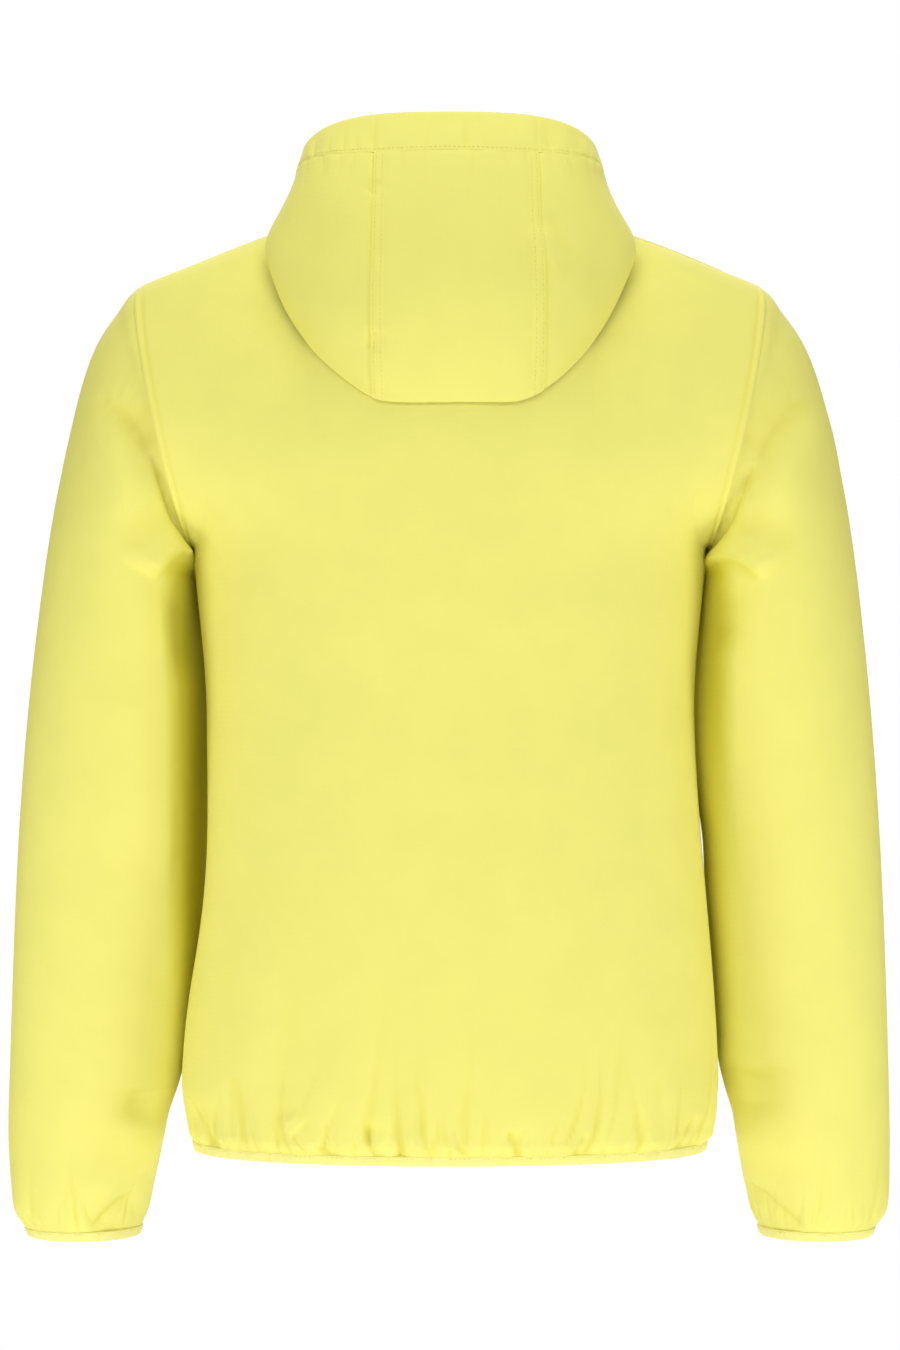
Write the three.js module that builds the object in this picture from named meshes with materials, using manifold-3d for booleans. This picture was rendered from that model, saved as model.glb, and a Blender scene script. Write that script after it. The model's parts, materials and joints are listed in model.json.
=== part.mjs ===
// A hooded softshell ski jacket, zipped to the chin with its hood lying down the back.
// Units are millimetres. +Z is up and the front faces -Y, so the wearer's left side is +X.
// The origin is the middle of the neck opening, at the height of the seam at the nape.
import * as THREE from "three";
import { mergeVertices } from "three/addons/utils/BufferGeometryUtils.js";
import Module from "manifold-3d";

const wasm = await Module();
wasm.setup();

// ---------------------------------------------------------------- driving dimensions
const CLOTH = 1.4; // softshell laminate
const SEAM = 0.45; // half the gap left between two panels at a seam
const CLEAR = 0.4; // gap between pieces that lie face to face

const BACK_LENGTH = 670; // nape to the bottom of the hem
const BINDING = 9; // height of the elastic binding at hem and cuffs
const BINDING_THICK = 2.4;

const NECK_HALF = 82; // neck opening, half its width
const NECK_BACK_Y = 64; // nape
const NECK_SIDE_Z = 24; // where the shoulder seam meets the collar
const NECK_FRONT_DROP = 62; // front of the neck seam, below the nape

const SHOULDER_HALF = 231; // shoulder point, half the width across
const SHOULDER_DROP = 30; // shoulder point, below the nape
const ARMPIT_HALF = 190;
const ARMPIT_DROP = 228; // armpit, below the nape

const WAIST_HALF = 181;
const WAIST_DROP = 350;
const HIP_HALF = 199;
const HIP_DROP = 616;
const HEM_HALF = 189;

const BLADE_DEPTH = 118; // back at the shoulder blades, from the shoulder line
const WAIST_DEPTH = 103;
const HIP_DEPTH = 108;
const HEM_DEPTH = 99;
const CHEST_SWELL = 9; // how far each side of the chest stands ahead of the zip

const ZIP_TOP_Y = -100; // the zip is one straight line, from the chin down to the hem
const ZIP_BOTTOM_Y = -130;
const ZIP_EDGE = 7; // half the gap between the two fronts, where the zip shows
const COLLAR_TOP_FRONT = 8; // height of the collar's edge at the chin
const COLLAR_TOP_SIDE = 66;
const COLLAR_TOP_BACK = 56;
const COLLAR_RIM_HALF = 76;
const COLLAR_RIM_BACK_Y = 57;

const CUFF_DROP = 738; // bottom of the sleeve, below the nape
const CUFF_OUTER = 315; // from the middle of the jacket
const CUFF_INNER = 233;
const CUFF_DEPTH = 74;
const ELBOW_OUTER = 321;
const ELBOW_INNER = 194;
const ELBOW_DROP = 440;
const FOREARM_OUTER = 329; // the sleeve's widest reach, above the cuff
const SLEEVE_FORWARD = 26; // how far the cuff hangs ahead of the shoulder seam

const HOOD_HALF = 129; // hood where it lies on the shoulders
const HOOD_RIM_HALF = 108;
const HOOD_RISE = 90; // top of the hood's rim above the nape
const HOOD_RIM_DIP = 30; // the rim's sides are this much lower
const HOOD_RIM_BACK_Y = 62;
const HOOD_RIM_SIDE_Y = 15;
const HOOD_HANG = 126; // bottom of the hood below the nape
const HOOD_SIDE_DROP = 24; // where the hood's fold crosses the shoulders, below the nape
const HOOD_PUFF = 56; // how far the lying hood swells back
const HOOD_SIDE_PUFF = 20; // and sideways
const HOOD_END_X = 115; // the hood's two ends, sewn down at the front of the shoulders
const HOOD_END_RISE = 6; // above the shoulder seam
const HOOD_SEAM = 0.42; // share of the half width that the centre panel takes
const HOOD_AXIS_Y = -5; // the hood lifts about a line across its two ends
const HOOD_AXIS_Z = 12;

const POCKET_LENGTH = 150;
const POCKET_TOP_DROP = 415; // top of the pocket zip, below the nape
const POCKET_TOP_X = 116;
const POCKET_SLANT = 26; // the pocket's lower end is this much further out

// ---------------------------------------------------------------- worked out from them
const HEM_Z = -BACK_LENGTH;
const ARMPIT_Z = -ARMPIT_DROP;
const NECK_FRONT_Z = -NECK_FRONT_DROP;
const SHOULDER_Z = -SHOULDER_DROP;
const ROUND = 0.62; // how square a body section is: 0.55 is an ellipse
const NECK_SHARE = 0.4; // share of a panel's top edge that lies on the neck seam
const PANEL_BOTTOM = HEM_Z + BINDING + CLEAR;

const V = (x, y, z) => new THREE.Vector3(x, y, z);
const lerp = THREE.MathUtils.lerp;
const clamp = THREE.MathUtils.clamp;
const ease = (t) => THREE.MathUtils.smoothstep(t, 0, 1);

const zipLean = (ZIP_BOTTOM_Y - ZIP_TOP_Y) / (HEM_Z - COLLAR_TOP_FRONT);
const zipY = (z) => ZIP_TOP_Y + (z - COLLAR_TOP_FRONT) * zipLean;

// A smooth curve of one measure against another, through [at, value] stations in rising order.
function through(stations) {
  const slopes = stations.map((_, i) => {
    const [a0, v0] = stations[Math.max(i - 1, 0)];
    const [a1, v1] = stations[Math.min(i + 1, stations.length - 1)];
    return (v1 - v0) / (a1 - a0);
  });
  return (at) => {
    let i = 0;
    while (i < stations.length - 2 && at > stations[i + 1][0]) i += 1;
    const [a0, v0] = stations[i];
    const [a1, v1] = stations[i + 1];
    const span = a1 - a0;
    const t = clamp((at - a0) / span, 0, 1);
    const rise = t * t * (3 - 2 * t);
    const bend0 = t * (1 - t) * (1 - t) * span * slopes[i];
    const bend1 = -t * t * (1 - t) * span * slopes[i + 1];
    return v0 + (v1 - v0) * rise + bend0 + bend1;
  };
}

const bezier = (p, t) => {
  const s = 1 - t;
  return V(0, 0, 0)
    .addScaledVector(p[0], s * s * s)
    .addScaledVector(p[1], 3 * s * s * t)
    .addScaledVector(p[2], 3 * s * t * t)
    .addScaledVector(p[3], t * t * t);
};

// ---------------------------------------------------------------- solids from surfaces
function geometryOf(points, triangles) {
  let volume = 0;
  for (const [a, b, c] of triangles) {
    volume += points[a].dot(points[b].clone().cross(points[c]));
  }
  const facing = volume < 0 ? triangles.map(([a, b, c]) => [a, c, b]) : triangles;
  const geometry = new THREE.BufferGeometry();
  const flat = points.flatMap((p) => [p.x, p.y, p.z]);
  geometry.setAttribute("position", new THREE.Float32BufferAttribute(flat, 3));
  geometry.setIndex(facing.flat());
  geometry.computeVertexNormals();
  return geometry;
}

// The unit normal of surface at (u, v), on the side that outward(point) points to.
function normalAt(surface, u, v, outward, wrap = false) {
  const step = 1e-3;
  const low = (t) => Math.max(t - step, 0);
  const high = (t) => Math.min(t + step, 1);
  const across = wrap
    ? surface((u + step) % 1, v).sub(surface((u + 1 - step) % 1, v))
    : surface(high(u), v).sub(surface(low(u), v));
  const along = surface(u, high(v)).sub(surface(u, low(v)));
  const normal = across.cross(along).normalize();
  return normal.dot(outward(surface(u, v))) < 0 ? normal.negate() : normal;
}

const evenly = (count, low = 0, high = 1) =>
  Array.from({ length: count + 1 }, (_, i) => lerp(low, high, i / count));

// A closed sheet of the given thickness whose outer face is surface(u, v), with u at each of the stops
// and v from 0 to 1. wrap joins the last stop to the first.
// trim(u, v, normal) may turn the direction in which an edge gets its thickness.
function sheet(surface, stops, rows, thickness, outward, { wrap = false, trim = null } = {}) {
  const columns = stops.length - 1;
  const points = [];
  const triangles = [];
  const across = wrap ? columns : columns + 1;
  const layer = across * (rows + 1);
  const outer = [];
  const inner = [];
  for (let j = 0; j <= rows; j += 1) {
    for (let i = 0; i < across; i += 1) {
      const [u, v] = [stops[i], j / rows];
      const point = surface(u, v);
      let normal = normalAt(surface, u, v, outward, wrap);
      if (trim) normal = trim(u, v, normal);
      outer.push(point);
      inner.push(point.clone().addScaledVector(normal, -thickness));
    }
  }
  points.push(...outer, ...inner);
  const at = (i, j) => (i % across) + j * across;
  const quad = (a, b, c, d) => triangles.push([a, b, c], [a, c, d]);
  for (let j = 0; j < rows; j += 1) {
    for (let i = 0; i < columns; i += 1) {
      const [a, b, c, d] = [at(i, j), at(i + 1, j), at(i + 1, j + 1), at(i, j + 1)];
      quad(a, b, c, d);
      quad(layer + a, layer + d, layer + c, layer + b);
    }
  }
  for (let i = 0; i < columns; i += 1) {
    quad(at(i + 1, 0), at(i, 0), layer + at(i, 0), layer + at(i + 1, 0));
    quad(at(i, rows), at(i + 1, rows), layer + at(i + 1, rows), layer + at(i, rows));
  }
  if (!wrap) {
    for (let j = 0; j < rows; j += 1) {
      quad(at(0, j), at(0, j + 1), layer + at(0, j + 1), layer + at(0, j));
      const [low, high] = [columns + j * across, columns + (j + 1) * across];
      quad(high, low, layer + low, layer + high);
    }
  }
  return geometryOf(points, triangles);
}

function solid(geometry) {
  const bare = geometry.index ? geometry.toNonIndexed() : geometry.clone();
  bare.deleteAttribute("normal");
  bare.deleteAttribute("uv");
  const merged = mergeVertices(bare, 1e-4);
  return new wasm.Manifold(
    new wasm.Mesh({
      numProp: 3,
      vertProperties: merged.attributes.position.array,
      triVerts: new Uint32Array(merged.index.array),
    }),
  );
}

function geometryFrom(made) {
  const mesh = made.getMesh();
  const geometry = new THREE.BufferGeometry();
  geometry.setAttribute("position", new THREE.BufferAttribute(mesh.vertProperties, 3));
  geometry.setIndex(new THREE.BufferAttribute(mesh.triVerts, 1));
  geometry.computeVertexNormals();
  return geometry;
}

const join = (...parts) => geometryFrom(parts.map(solid).reduce((a, b) => a.add(b)));
const cut = (body, ...tools) =>
  geometryFrom(tools.map(solid).reduce((a, b) => a.subtract(b), solid(body)));

// A box between two corners, [x, y, z] each.
function block(low, high) {
  const size = high.map((h, i) => h - low[i]);
  return new THREE.BoxGeometry(...size).translate(
    ...low.map((l, i) => l + size[i] / 2),
  );
}

// ---------------------------------------------------------------- body surface
const bodyHalf = through([
  [HEM_Z, HEM_HALF],
  [-HIP_DROP, HIP_HALF],
  [-WAIST_DROP, WAIST_HALF],
  [ARMPIT_Z, ARMPIT_HALF],
]);
const bodyDepth = through([
  [HEM_Z, HEM_DEPTH],
  [-HIP_DROP, HIP_DEPTH],
  [-WAIST_DROP, WAIST_DEPTH],
  [ARMPIT_Z, BLADE_DEPTH * 0.97],
  [ARMPIT_Z * 0.48, BLADE_DEPTH],
  [ARMPIT_Z * 0.16, lerp(NECK_BACK_Y, BLADE_DEPTH, 0.56)],
  [0, NECK_BACK_Y],
]);

// The armhole is a circle in a leaning plane, so that a sleeve can turn in it about its middle.
const armholeTop = V(SHOULDER_HALF, 0, SHOULDER_Z);
const armholeBottom = V(ARMPIT_HALF, 0, ARMPIT_Z);
const armholeMiddle = armholeTop.clone().add(armholeBottom).multiplyScalar(0.5);
const armholeUp = armholeTop.clone().sub(armholeBottom);
const armholeRadius = armholeUp.length() / 2;
armholeUp.normalize();
const armholeAxis = V(armholeUp.z, 0, -armholeUp.x);

// A point of the armhole: share 0 is the armpit and 1 the shoulder point. side is 1 behind and -1 in front.
function armhole(side, share, outwards) {
  const least = Math.asin(SEAM / armholeRadius);
  const angle = lerp(least - Math.PI / 2, Math.PI / 2 - least, share);
  return armholeMiddle
    .clone()
    .addScaledVector(armholeUp, armholeRadius * Math.sin(angle))
    .add(V(0, side * armholeRadius * Math.cos(angle), 0))
    .addScaledVector(armholeAxis, outwards);
}

// Right half of a ring round the neck. q runs from 0 at the nape, by 0.5 over the shoulder, to 1 at the zip.
function neckRing(q, half, backY, backZ, sideZ, frontZ) {
  const side = V(half, 0, sideZ);
  if (q <= 0.5) {
    const angle = q * Math.PI;
    const back = Math.cos(angle);
    return V(half * Math.sin(angle), Math.max(backY * back, SEAM), lerp(sideZ, backZ, back * back));
  }
  const front = V(ZIP_EDGE, zipY(frontZ), frontZ);
  const curve = [
    front,
    V(half * 0.55, front.y, frontZ),
    V(half, front.y * 0.52, lerp(sideZ, frontZ, 0.2)),
    V(side.x, -SEAM, side.z),
  ];
  return bezier(curve, (1 - q) * 2);
}

const neckSeam = (q) =>
  neckRing(q, NECK_HALF, NECK_BACK_Y, 0, NECK_SIDE_Z, NECK_FRONT_Z);

// Top edge of a panel: along the neck seam, then out along the shoulder seam.
function topEdge(side, u) {
  if (u < NECK_SHARE) {
    const share = u / NECK_SHARE;
    return neckSeam(side > 0 ? share / 2 : 1 - share / 2);
  }
  const neck = V(NECK_HALF, side * SEAM, NECK_SIDE_Z);
  return neck.lerp(armhole(side, 1, -SEAM), (u - NECK_SHARE) / (1 - NECK_SHARE));
}

// The section of half a body panel at v, as a Bezier curve. v is 0 at the hem, 0.5 at the armpit, 1 at the top.
function bodySection(side, v, bottom) {
  const s = clamp(2 * v - 1, 0, 1);
  const below = v < 0.5;
  const z = below ? lerp(bottom, ARMPIT_Z, 2 * v) : lerp(ARMPIT_Z, side > 0 ? 0 : NECK_FRONT_Z, s);
  const start = side > 0 ? V(0, bodyDepth(z), z) : V(ZIP_EDGE, zipY(z), z);
  const end = below ? V(bodyHalf(z), side * SEAM, z) : armhole(side, s, -SEAM);
  const turn = (Math.PI / 2) * Math.sin((Math.PI / 2) * Math.min(1, s * 1.4));
  const slope = (SHOULDER_Z - NECK_SIDE_Z) / (SHOULDER_HALF - NECK_HALF);
  const heading = V(Math.sin(turn), -side * Math.cos(turn), slope * s).normalize();
  const reach = lerp(ROUND * Math.abs(start.y), 70, ease(s));
  const swell = side > 0 ? 0 : -CHEST_SWELL * ease(2 * v) * (1 - ease(s));
  const first = start.clone().add(V(ROUND * (end.x - start.x), swell, 0));
  return [start, first, end.clone().addScaledVector(heading, -reach), end];
}

// Half a body panel, on the wearer's left. u is 0 at the middle of the back, or at the zip, and 1 at the side.
function bodySurface(side, u, v) {
  const point = bezier(bodySection(side, v, PANEL_BOTTOM), u);
  if (v <= 0.5) return point;
  const pull = Math.pow(2 * v - 1, 2.4);
  const top = topEdge(side, u).sub(bezier(bodySection(side, 1, PANEL_BOTTOM), u));
  return point.addScaledVector(top, pull);
}

const backFace = (u, v) => bodySurface(1, u, v);
const frontFace = (u, v) => bodySurface(-1, u, v);

const fromMiddle = (p) => V(p.x, p.y, 0.2 * Math.max(0, p.z + 150));
const mirrored = (point) => V(-point.x, point.y, point.z);

// An edge that meets another piece gets its thickness along that edge, so that neither leans into the other.
function trimBody(u, v, normal) {
  const flat = normal.clone();
  if (u > 0.999 && v > 0.5) {
    flat.addScaledVector(armholeAxis, -flat.dot(armholeAxis));
  } else if (u > 0.999 || (v > 0.999 && u > NECK_SHARE - 0.01)) {
    flat.y = 0;
  }
  if (u < 0.001) flat.x = 0;
  return flat.normalize();
}

const BODY_ROWS = 14;
const BACK_STOPS = evenly(10);
const FRONT_STOPS = [0, 0.03, ...BACK_STOPS.slice(1)];

function backPanel() {
  const surface = (u, v) => {
    const across = 2 * u - 1;
    const point = backFace(Math.abs(across), v);
    return across < 0 ? mirrored(point) : point;
  };
  const trim = (u, v, normal) => {
    const across = 2 * u - 1;
    const left = across < 0 ? mirrored(normal) : normal;
    const made = trimBody(Math.abs(across), v, left);
    return across < 0 ? mirrored(made) : made;
  };
  const stops = evenly(2 * (BACK_STOPS.length - 1));
  return sheet(surface, stops, BODY_ROWS, CLOTH, fromMiddle, { trim });
}

// Mirrors a geometry that was made for the wearer's left.
function onRight(geometry) {
  const made = geometry.clone().scale(-1, 1, 1);
  const index = made.index.array;
  for (let i = 0; i < index.length; i += 3) {
    [index[i + 1], index[i + 2]] = [index[i + 2], index[i + 1]];
  }
  made.computeVertexNormals();
  return made;
}

// ---------------------------------------------------------------- pocket places
// The pocket's frame on the left front: y out of the cloth, z up along the zip.
function pocketFrame() {
  const find = (x, z) => {
    const v = (z - PANEL_BOTTOM) / (ARMPIT_Z - PANEL_BOTTOM) / 2;
    let [low, high] = [0, 1];
    for (let i = 0; i < 30; i += 1) {
      const middle = (low + high) / 2;
      if (frontFace(middle, v).x < x) low = middle;
      else high = middle;
    }
    return [low, v];
  };
  const top = find(POCKET_TOP_X, -POCKET_TOP_DROP);
  const bottom = find(POCKET_TOP_X + POCKET_SLANT, -POCKET_TOP_DROP - POCKET_LENGTH);
  const upper = frontFace(...top);
  const lower = frontFace(...bottom);
  const middle = [(top[0] + bottom[0]) / 2, (top[1] + bottom[1]) / 2];
  const out = normalAt(frontFace, ...middle, fromMiddle);
  const up = upper.clone().sub(lower).normalize();
  const inwards = out.clone().addScaledVector(up, -out.dot(up)).normalize().negate();
  const sideways = inwards.clone().cross(up);
  const basis = new THREE.Matrix4().makeBasis(sideways, inwards, up);
  // The straight zip lies on the cloth half way along.
  const seat = frontFace(...middle);
  const chord = upper.clone().add(lower).multiplyScalar(0.5);
  const origin = lower.clone().addScaledVector(inwards, seat.sub(chord).dot(inwards) * 0.5);
  return { matrix: basis.setPosition(origin), top, bottom };
}

const pocket = pocketFrame();

function frontPanel() {
  const panel = sheet(frontFace, FRONT_STOPS, BODY_ROWS, CLOTH, fromMiddle, { trim: trimBody });
  const slot = block(
    [-pocketZip.edge, -8, -4],
    [pocketZip.edge, 8, POCKET_LENGTH + 4],
  ).applyMatrix4(pocket.matrix);
  return cut(panel, slot);
}

// ---------------------------------------------------------------- hem, collar and neck
// The binding runs from one side of the zip, round the back, to the other.
function hemBinding() {
  const surface = (u, v) => {
    const across = 2 * u - 1;
    const quarter = Math.abs(across) * 2;
    const side = quarter < 1 ? 1 : -1;
    const share = quarter < 1 ? quarter : 2 - quarter;
    const z = HEM_Z + v * BINDING;
    const rowV = (z - HEM_Z) / (ARMPIT_Z - HEM_Z) / 2;
    const point = bezier(bodySection(side, rowV, HEM_Z), share);
    return across < 0 ? mirrored(point) : point;
  };
  return sheet(surface, evenly(36), 1, BINDING_THICK, fromMiddle);
}

// The collar's stops match the panels' columns along the neck seam.
const NECK_QUARTERS = [
  ...BACK_STOPS.filter((u) => u < NECK_SHARE - 0.01).map((u) => u / NECK_SHARE / 2),
  ...FRONT_STOPS.filter((u) => u < NECK_SHARE + 0.01).map((u) => 1 - u / NECK_SHARE / 2).reverse(),
];
const COLLAR_STOPS = [
  ...[...NECK_QUARTERS].reverse().map((q) => (1 - q) / 2),
  ...NECK_QUARTERS.slice(1).map((q) => (1 + q) / 2),
];

const collarRim = (q) =>
  neckRing(
    q,
    COLLAR_RIM_HALF,
    COLLAR_RIM_BACK_Y,
    COLLAR_TOP_BACK,
    COLLAR_TOP_SIDE,
    COLLAR_TOP_FRONT,
  );

// The collar's outer face, u from the right zip edge round the nape to the left one, v from seam to rim.
function collarFace(u, v) {
  const across = 2 * u - 1;
  const q = Math.abs(across);
  const lift = V(0, 0, CLEAR + 0.1);
  const low = neckSeam(q).add(lift);
  const point = low.lerp(collarRim(q), v);
  return across < 0 ? mirrored(point) : point;
}

function insideCollar(u, v, depth) {
  const normal = normalAt(collarFace, u, v, fromMiddle);
  return collarFace(u, v).addScaledVector(normal, -depth);
}

// A sheet that lies inside the collar, over the stops within reach of the nape.
function collarLayer(reach, low, high, thickness) {
  const surface = (u, v) => insideCollar(u, lerp(low, high, v), COLLAR_DEPTH);
  const stops = COLLAR_STOPS.filter((u) => Math.abs(2 * u - 1) < reach);
  return sheet(surface, stops, 2, thickness, fromMiddle);
}

const COLLAR_DEPTH = CLOTH + CLEAR;
const NECK_TAPE_THICK = 1.1;
const collar = () => sheet(collarFace, COLLAR_STOPS, 3, CLOTH, fromMiddle);
const collarFacing = () => collarLayer(0.9, 0.28, 0.97, 0.9);
const neckTape = () => collarLayer(0.51, 0.02, 0.22, NECK_TAPE_THICK);

const LOOP_HALF = 34; // hanger loop, half its length
const LOOP_BOW = 9; // how far its middle stands off its two ends
const LOOP_WIDTH = 7;
const LOOP_THICK = 1.2;

// A strap on edge, bowed inwards from its two ends, which are sewn to the neck tape.
function hangerLoop() {
  const q = Math.asin(LOOP_HALF / NECK_HALF) / Math.PI;
  const end = insideCollar((1 + q) / 2, 0.12, COLLAR_DEPTH + NECK_TAPE_THICK + CLEAR + 0.4);
  const bow = (x) => end.y - LOOP_BOW * Math.cos(((x / end.x) * Math.PI) / 2) ** 2;
  const xs = evenly(10, -end.x, end.x);
  const outline = new THREE.Shape();
  xs.forEach((x, i) => (i ? outline.lineTo(x, bow(x)) : outline.moveTo(x, bow(x))));
  [...xs].reverse().forEach((x) => outline.lineTo(x, bow(x) - LOOP_THICK));
  outline.closePath();
  const strap = new THREE.ExtrudeGeometry(outline, { depth: LOOP_WIDTH, bevelEnabled: false });
  return strap.translate(0, 0, end.z - LOOP_WIDTH / 2);
}

const LABEL_GAP = 1.5;

// A blank woven patch on the inside of the back, just under the neck tape.
function neckLabel() {
  const surface = (u, v) => {
    const across = lerp(-0.16, 0.16, u);
    const row = lerp(0.92, 0.982, v);
    const normal = normalAt(backFace, Math.abs(across), row, fromMiddle);
    const point = backFace(Math.abs(across), row).addScaledVector(normal, -COLLAR_DEPTH - LABEL_GAP);
    return across < 0 ? mirrored(point) : point;
  };
  return sheet(surface, evenly(6), 3, 0.7, fromMiddle);
}

// ---------------------------------------------------------------- hood
// Where the back panel's outer face has this x and z.
function backAt(x, z) {
  let [u, v] = [x / SHOULDER_HALF, clamp(1 + z / ARMPIT_DROP / 2, 0.5, 0.98)];
  const step = 1e-4;
  for (let i = 0; i < 20; i += 1) {
    const here = backFace(u, v);
    const overU = backFace(u + step, v).sub(here).divideScalar(step);
    const overV = backFace(u, v - step).sub(here).divideScalar(-step);
    const [dx, dz] = [x - here.x, z - here.z];
    const area = overU.x * overV.z - overV.x * overU.z;
    u = clamp(u + (dx * overV.z - overV.x * dz) / area, 0, 0.97);
    v = clamp(v + (overU.x * dz - dx * overU.z) / area, 0.3, 0.985);
  }
  return [u, v];
}

const HOOD_END = 1.95; // angle round the hood, in radians, of its two ends: past a quarter turn
const FOLD_THICK = 1.2;
const FOLD_SEAT = 0.7; // extra room under it, for the facets of the panels

// The hood's rim, by the angle round from the middle of the back.
function hoodRim(angle) {
  const back = Math.cos(angle);
  const x = HOOD_RIM_HALF * Math.sin(angle) ** 0.85;
  const y = HOOD_RIM_SIDE_Y + (HOOD_RIM_BACK_Y - HOOD_RIM_SIDE_Y) * back;
  return V(x, y, HOOD_RISE - HOOD_RIM_DIP * (1 - back));
}

// Height of the shoulder seam at x.
const shoulderZ = (x) =>
  lerp(NECK_SIDE_Z, SHOULDER_Z, (x - NECK_HALF) / (SHOULDER_HALF - NECK_HALF));

// The fold along the hood's bottom, which lies on the back and shoulders.
function hoodFold(angle) {
  const back = Math.max(Math.cos(angle), 0);
  const x = HOOD_HALF * Math.sin(Math.min(angle, Math.PI / 2));
  const z = lerp(-HOOD_SIDE_DROP, -HOOD_HANG, back ** 1.2);
  const [u, v] = backAt(x, z);
  const normal = normalAt(backFace, u, v, fromMiddle);
  const seat = backFace(u, v).addScaledVector(normal, CLEAR + FOLD_SEAT + FOLD_THICK + CLOTH + 0.1);
  const past = Math.max(0, angle - Math.PI / 2) / (HOOD_END - Math.PI / 2);
  const end = V(HOOD_END_X, HOOD_AXIS_Y, shoulderZ(HOOD_END_X) + HOOD_END_RISE);
  return seat.lerp(end, ease(past));
}

// The hood's outer face: angle round it, and v from 0 at the rim to 1 at the fold.
function hoodFace(angle, v) {
  const turn = Math.abs(angle);
  const swell = 4 * v * (1 - v);
  const point = hoodRim(turn).lerp(hoodFold(turn), v);
  point.x += swell * HOOD_SIDE_PUFF * Math.sin(turn) * (turn < Math.PI / 2 ? 1 : 0.6);
  point.y += swell * HOOD_PUFF * Math.max(Math.cos(turn), 0);
  return angle < 0 ? mirrored(point) : point;
}

const hoodOutward = (p) => V(p.x, p.y - 20, 0.4 * (p.z + 20));
const SEAM_ANGLE = Math.asin(HOOD_SEAM);
const SEAM_STEP = 0.003; // half the gap between two hood panels, in radians

const CENTRE_ANGLES = evenly(6, SEAM_STEP - SEAM_ANGLE, SEAM_ANGLE - SEAM_STEP);
const SIDE_ANGLES = evenly(9, SEAM_ANGLE + SEAM_STEP, HOOD_END);
const ALL_ANGLES = [
  ...[...SIDE_ANGLES].reverse().map((angle) => -angle),
  ...CENTRE_ANGLES.slice(1, -1),
  ...SIDE_ANGLES,
];
const BAND_SHARE = 0.16; // share of the hood's face, from the rim, that its stitched band covers

// Sheets over the hood: the surface takes angles, so a stop is an angle from the middle of the back.
function hoodSheet(angles, from, to, depth, thickness, rows) {
  const [low, high] = [angles[0], angles[angles.length - 1]];
  const face = (u, v) => hoodFace(lerp(low, high, u), lerp(from, to, v));
  const surface = (u, v) => {
    const normal = normalAt(face, u, v, hoodOutward);
    return face(u, v).addScaledVector(normal, -depth);
  };
  const stops = angles.map((angle) => (angle - low) / (high - low));
  return sheet(surface, stops, rows, thickness, hoodOutward);
}

const hoodCentre = () => hoodSheet(CENTRE_ANGLES, BAND_SHARE + 0.003, 1, 0, CLOTH, 8);
const hoodSide = () => hoodSheet(SIDE_ANGLES, BAND_SHARE + 0.003, 1, 0, CLOTH, 8);

// The rim's turned and stitched band, with its elastic lying inside the fold.
const hoodBand = () => hoodSheet(ALL_ANGLES, 0, BAND_SHARE - 0.003, 0, CLOTH, 2);
const hoodElastic = () =>
  hoodSheet(ALL_ANGLES.slice(1, -1), 0.03, BAND_SHARE - 0.03, CLOTH + CLEAR, 0.8, 1);

const UNDERLAP_INSET = 2; // how far its edge stops short of the fold

// The part of the hood that turns under, from the neck seam down to the fold. It stays with the body.
function hoodUnderlap() {
  const surface = (across, r) => {
    const side = 2 * across - 1;
    const angle = (Math.abs(side) * Math.PI) / 2;
    const x = (HOOD_HALF - UNDERLAP_INSET) * Math.sin(angle);
    const z = UNDERLAP_INSET + lerp(-HOOD_SIDE_DROP, -HOOD_HANG, Math.cos(angle) ** 1.2);
    const [foldU, foldV] = backAt(x, z);
    const u = lerp(NECK_SHARE * Math.abs(side) * 0.94, foldU, r);
    const v = lerp(0.978, foldV, r);
    const normal = normalAt(backFace, u, v, fromMiddle);
    const point = backFace(u, v).addScaledVector(normal, CLEAR + FOLD_SEAT + FOLD_THICK);
    return side < 0 ? mirrored(point) : point;
  };
  return sheet(surface, evenly(16), 5, FOLD_THICK, fromMiddle);
}

// ---------------------------------------------------------------- sleeves
const sleeveOuter = new THREE.CatmullRomCurve3(
  [
    armholeTop.clone(),
    V(lerp(SHOULDER_HALF, ELBOW_OUTER, 0.35), 0, SHOULDER_Z - 45),
    V(lerp(SHOULDER_HALF, ELBOW_OUTER, 0.64), 0, SHOULDER_Z - 140),
    V(lerp(SHOULDER_HALF, ELBOW_OUTER, 0.85), 0, SHOULDER_Z - 265),
    V(ELBOW_OUTER, 0, -ELBOW_DROP),
    V(lerp(ELBOW_OUTER, FOREARM_OUTER, 0.9), 0, -CUFF_DROP + 130),
    V(FOREARM_OUTER, 0, -CUFF_DROP + 62),
    V(lerp(CUFF_OUTER, FOREARM_OUTER, 0.75), 0, -CUFF_DROP + 24),
    V(CUFF_OUTER, 0, -CUFF_DROP),
  ],
  false,
  "centripetal",
);
const sleeveInner = new THREE.CatmullRomCurve3(
  [
    armholeBottom.clone(),
    V(ARMPIT_HALF + 6, 0, ARMPIT_Z - 36),
    V(ELBOW_INNER + 1, 0, -ELBOW_DROP),
    V(lerp(ELBOW_INNER, CUFF_INNER, 0.08), 0, -CUFF_DROP + 190),
    V(lerp(ELBOW_INNER, CUFF_INNER, 0.32), 0, -CUFF_DROP + 112),
    V(lerp(ELBOW_INNER, CUFF_INNER, 0.62), 0, -CUFF_DROP + 52),
    V(CUFF_INNER, 0, -CUFF_DROP),
  ],
  false,
  "centripetal",
);
const sleeveDepth = through([
  [0, armholeRadius],
  [0.24, 80],
  [0.5, 65],
  [0.75, 57],
  [0.93, 49],
  [1, CUFF_DEPTH / 2],
]);

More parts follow.
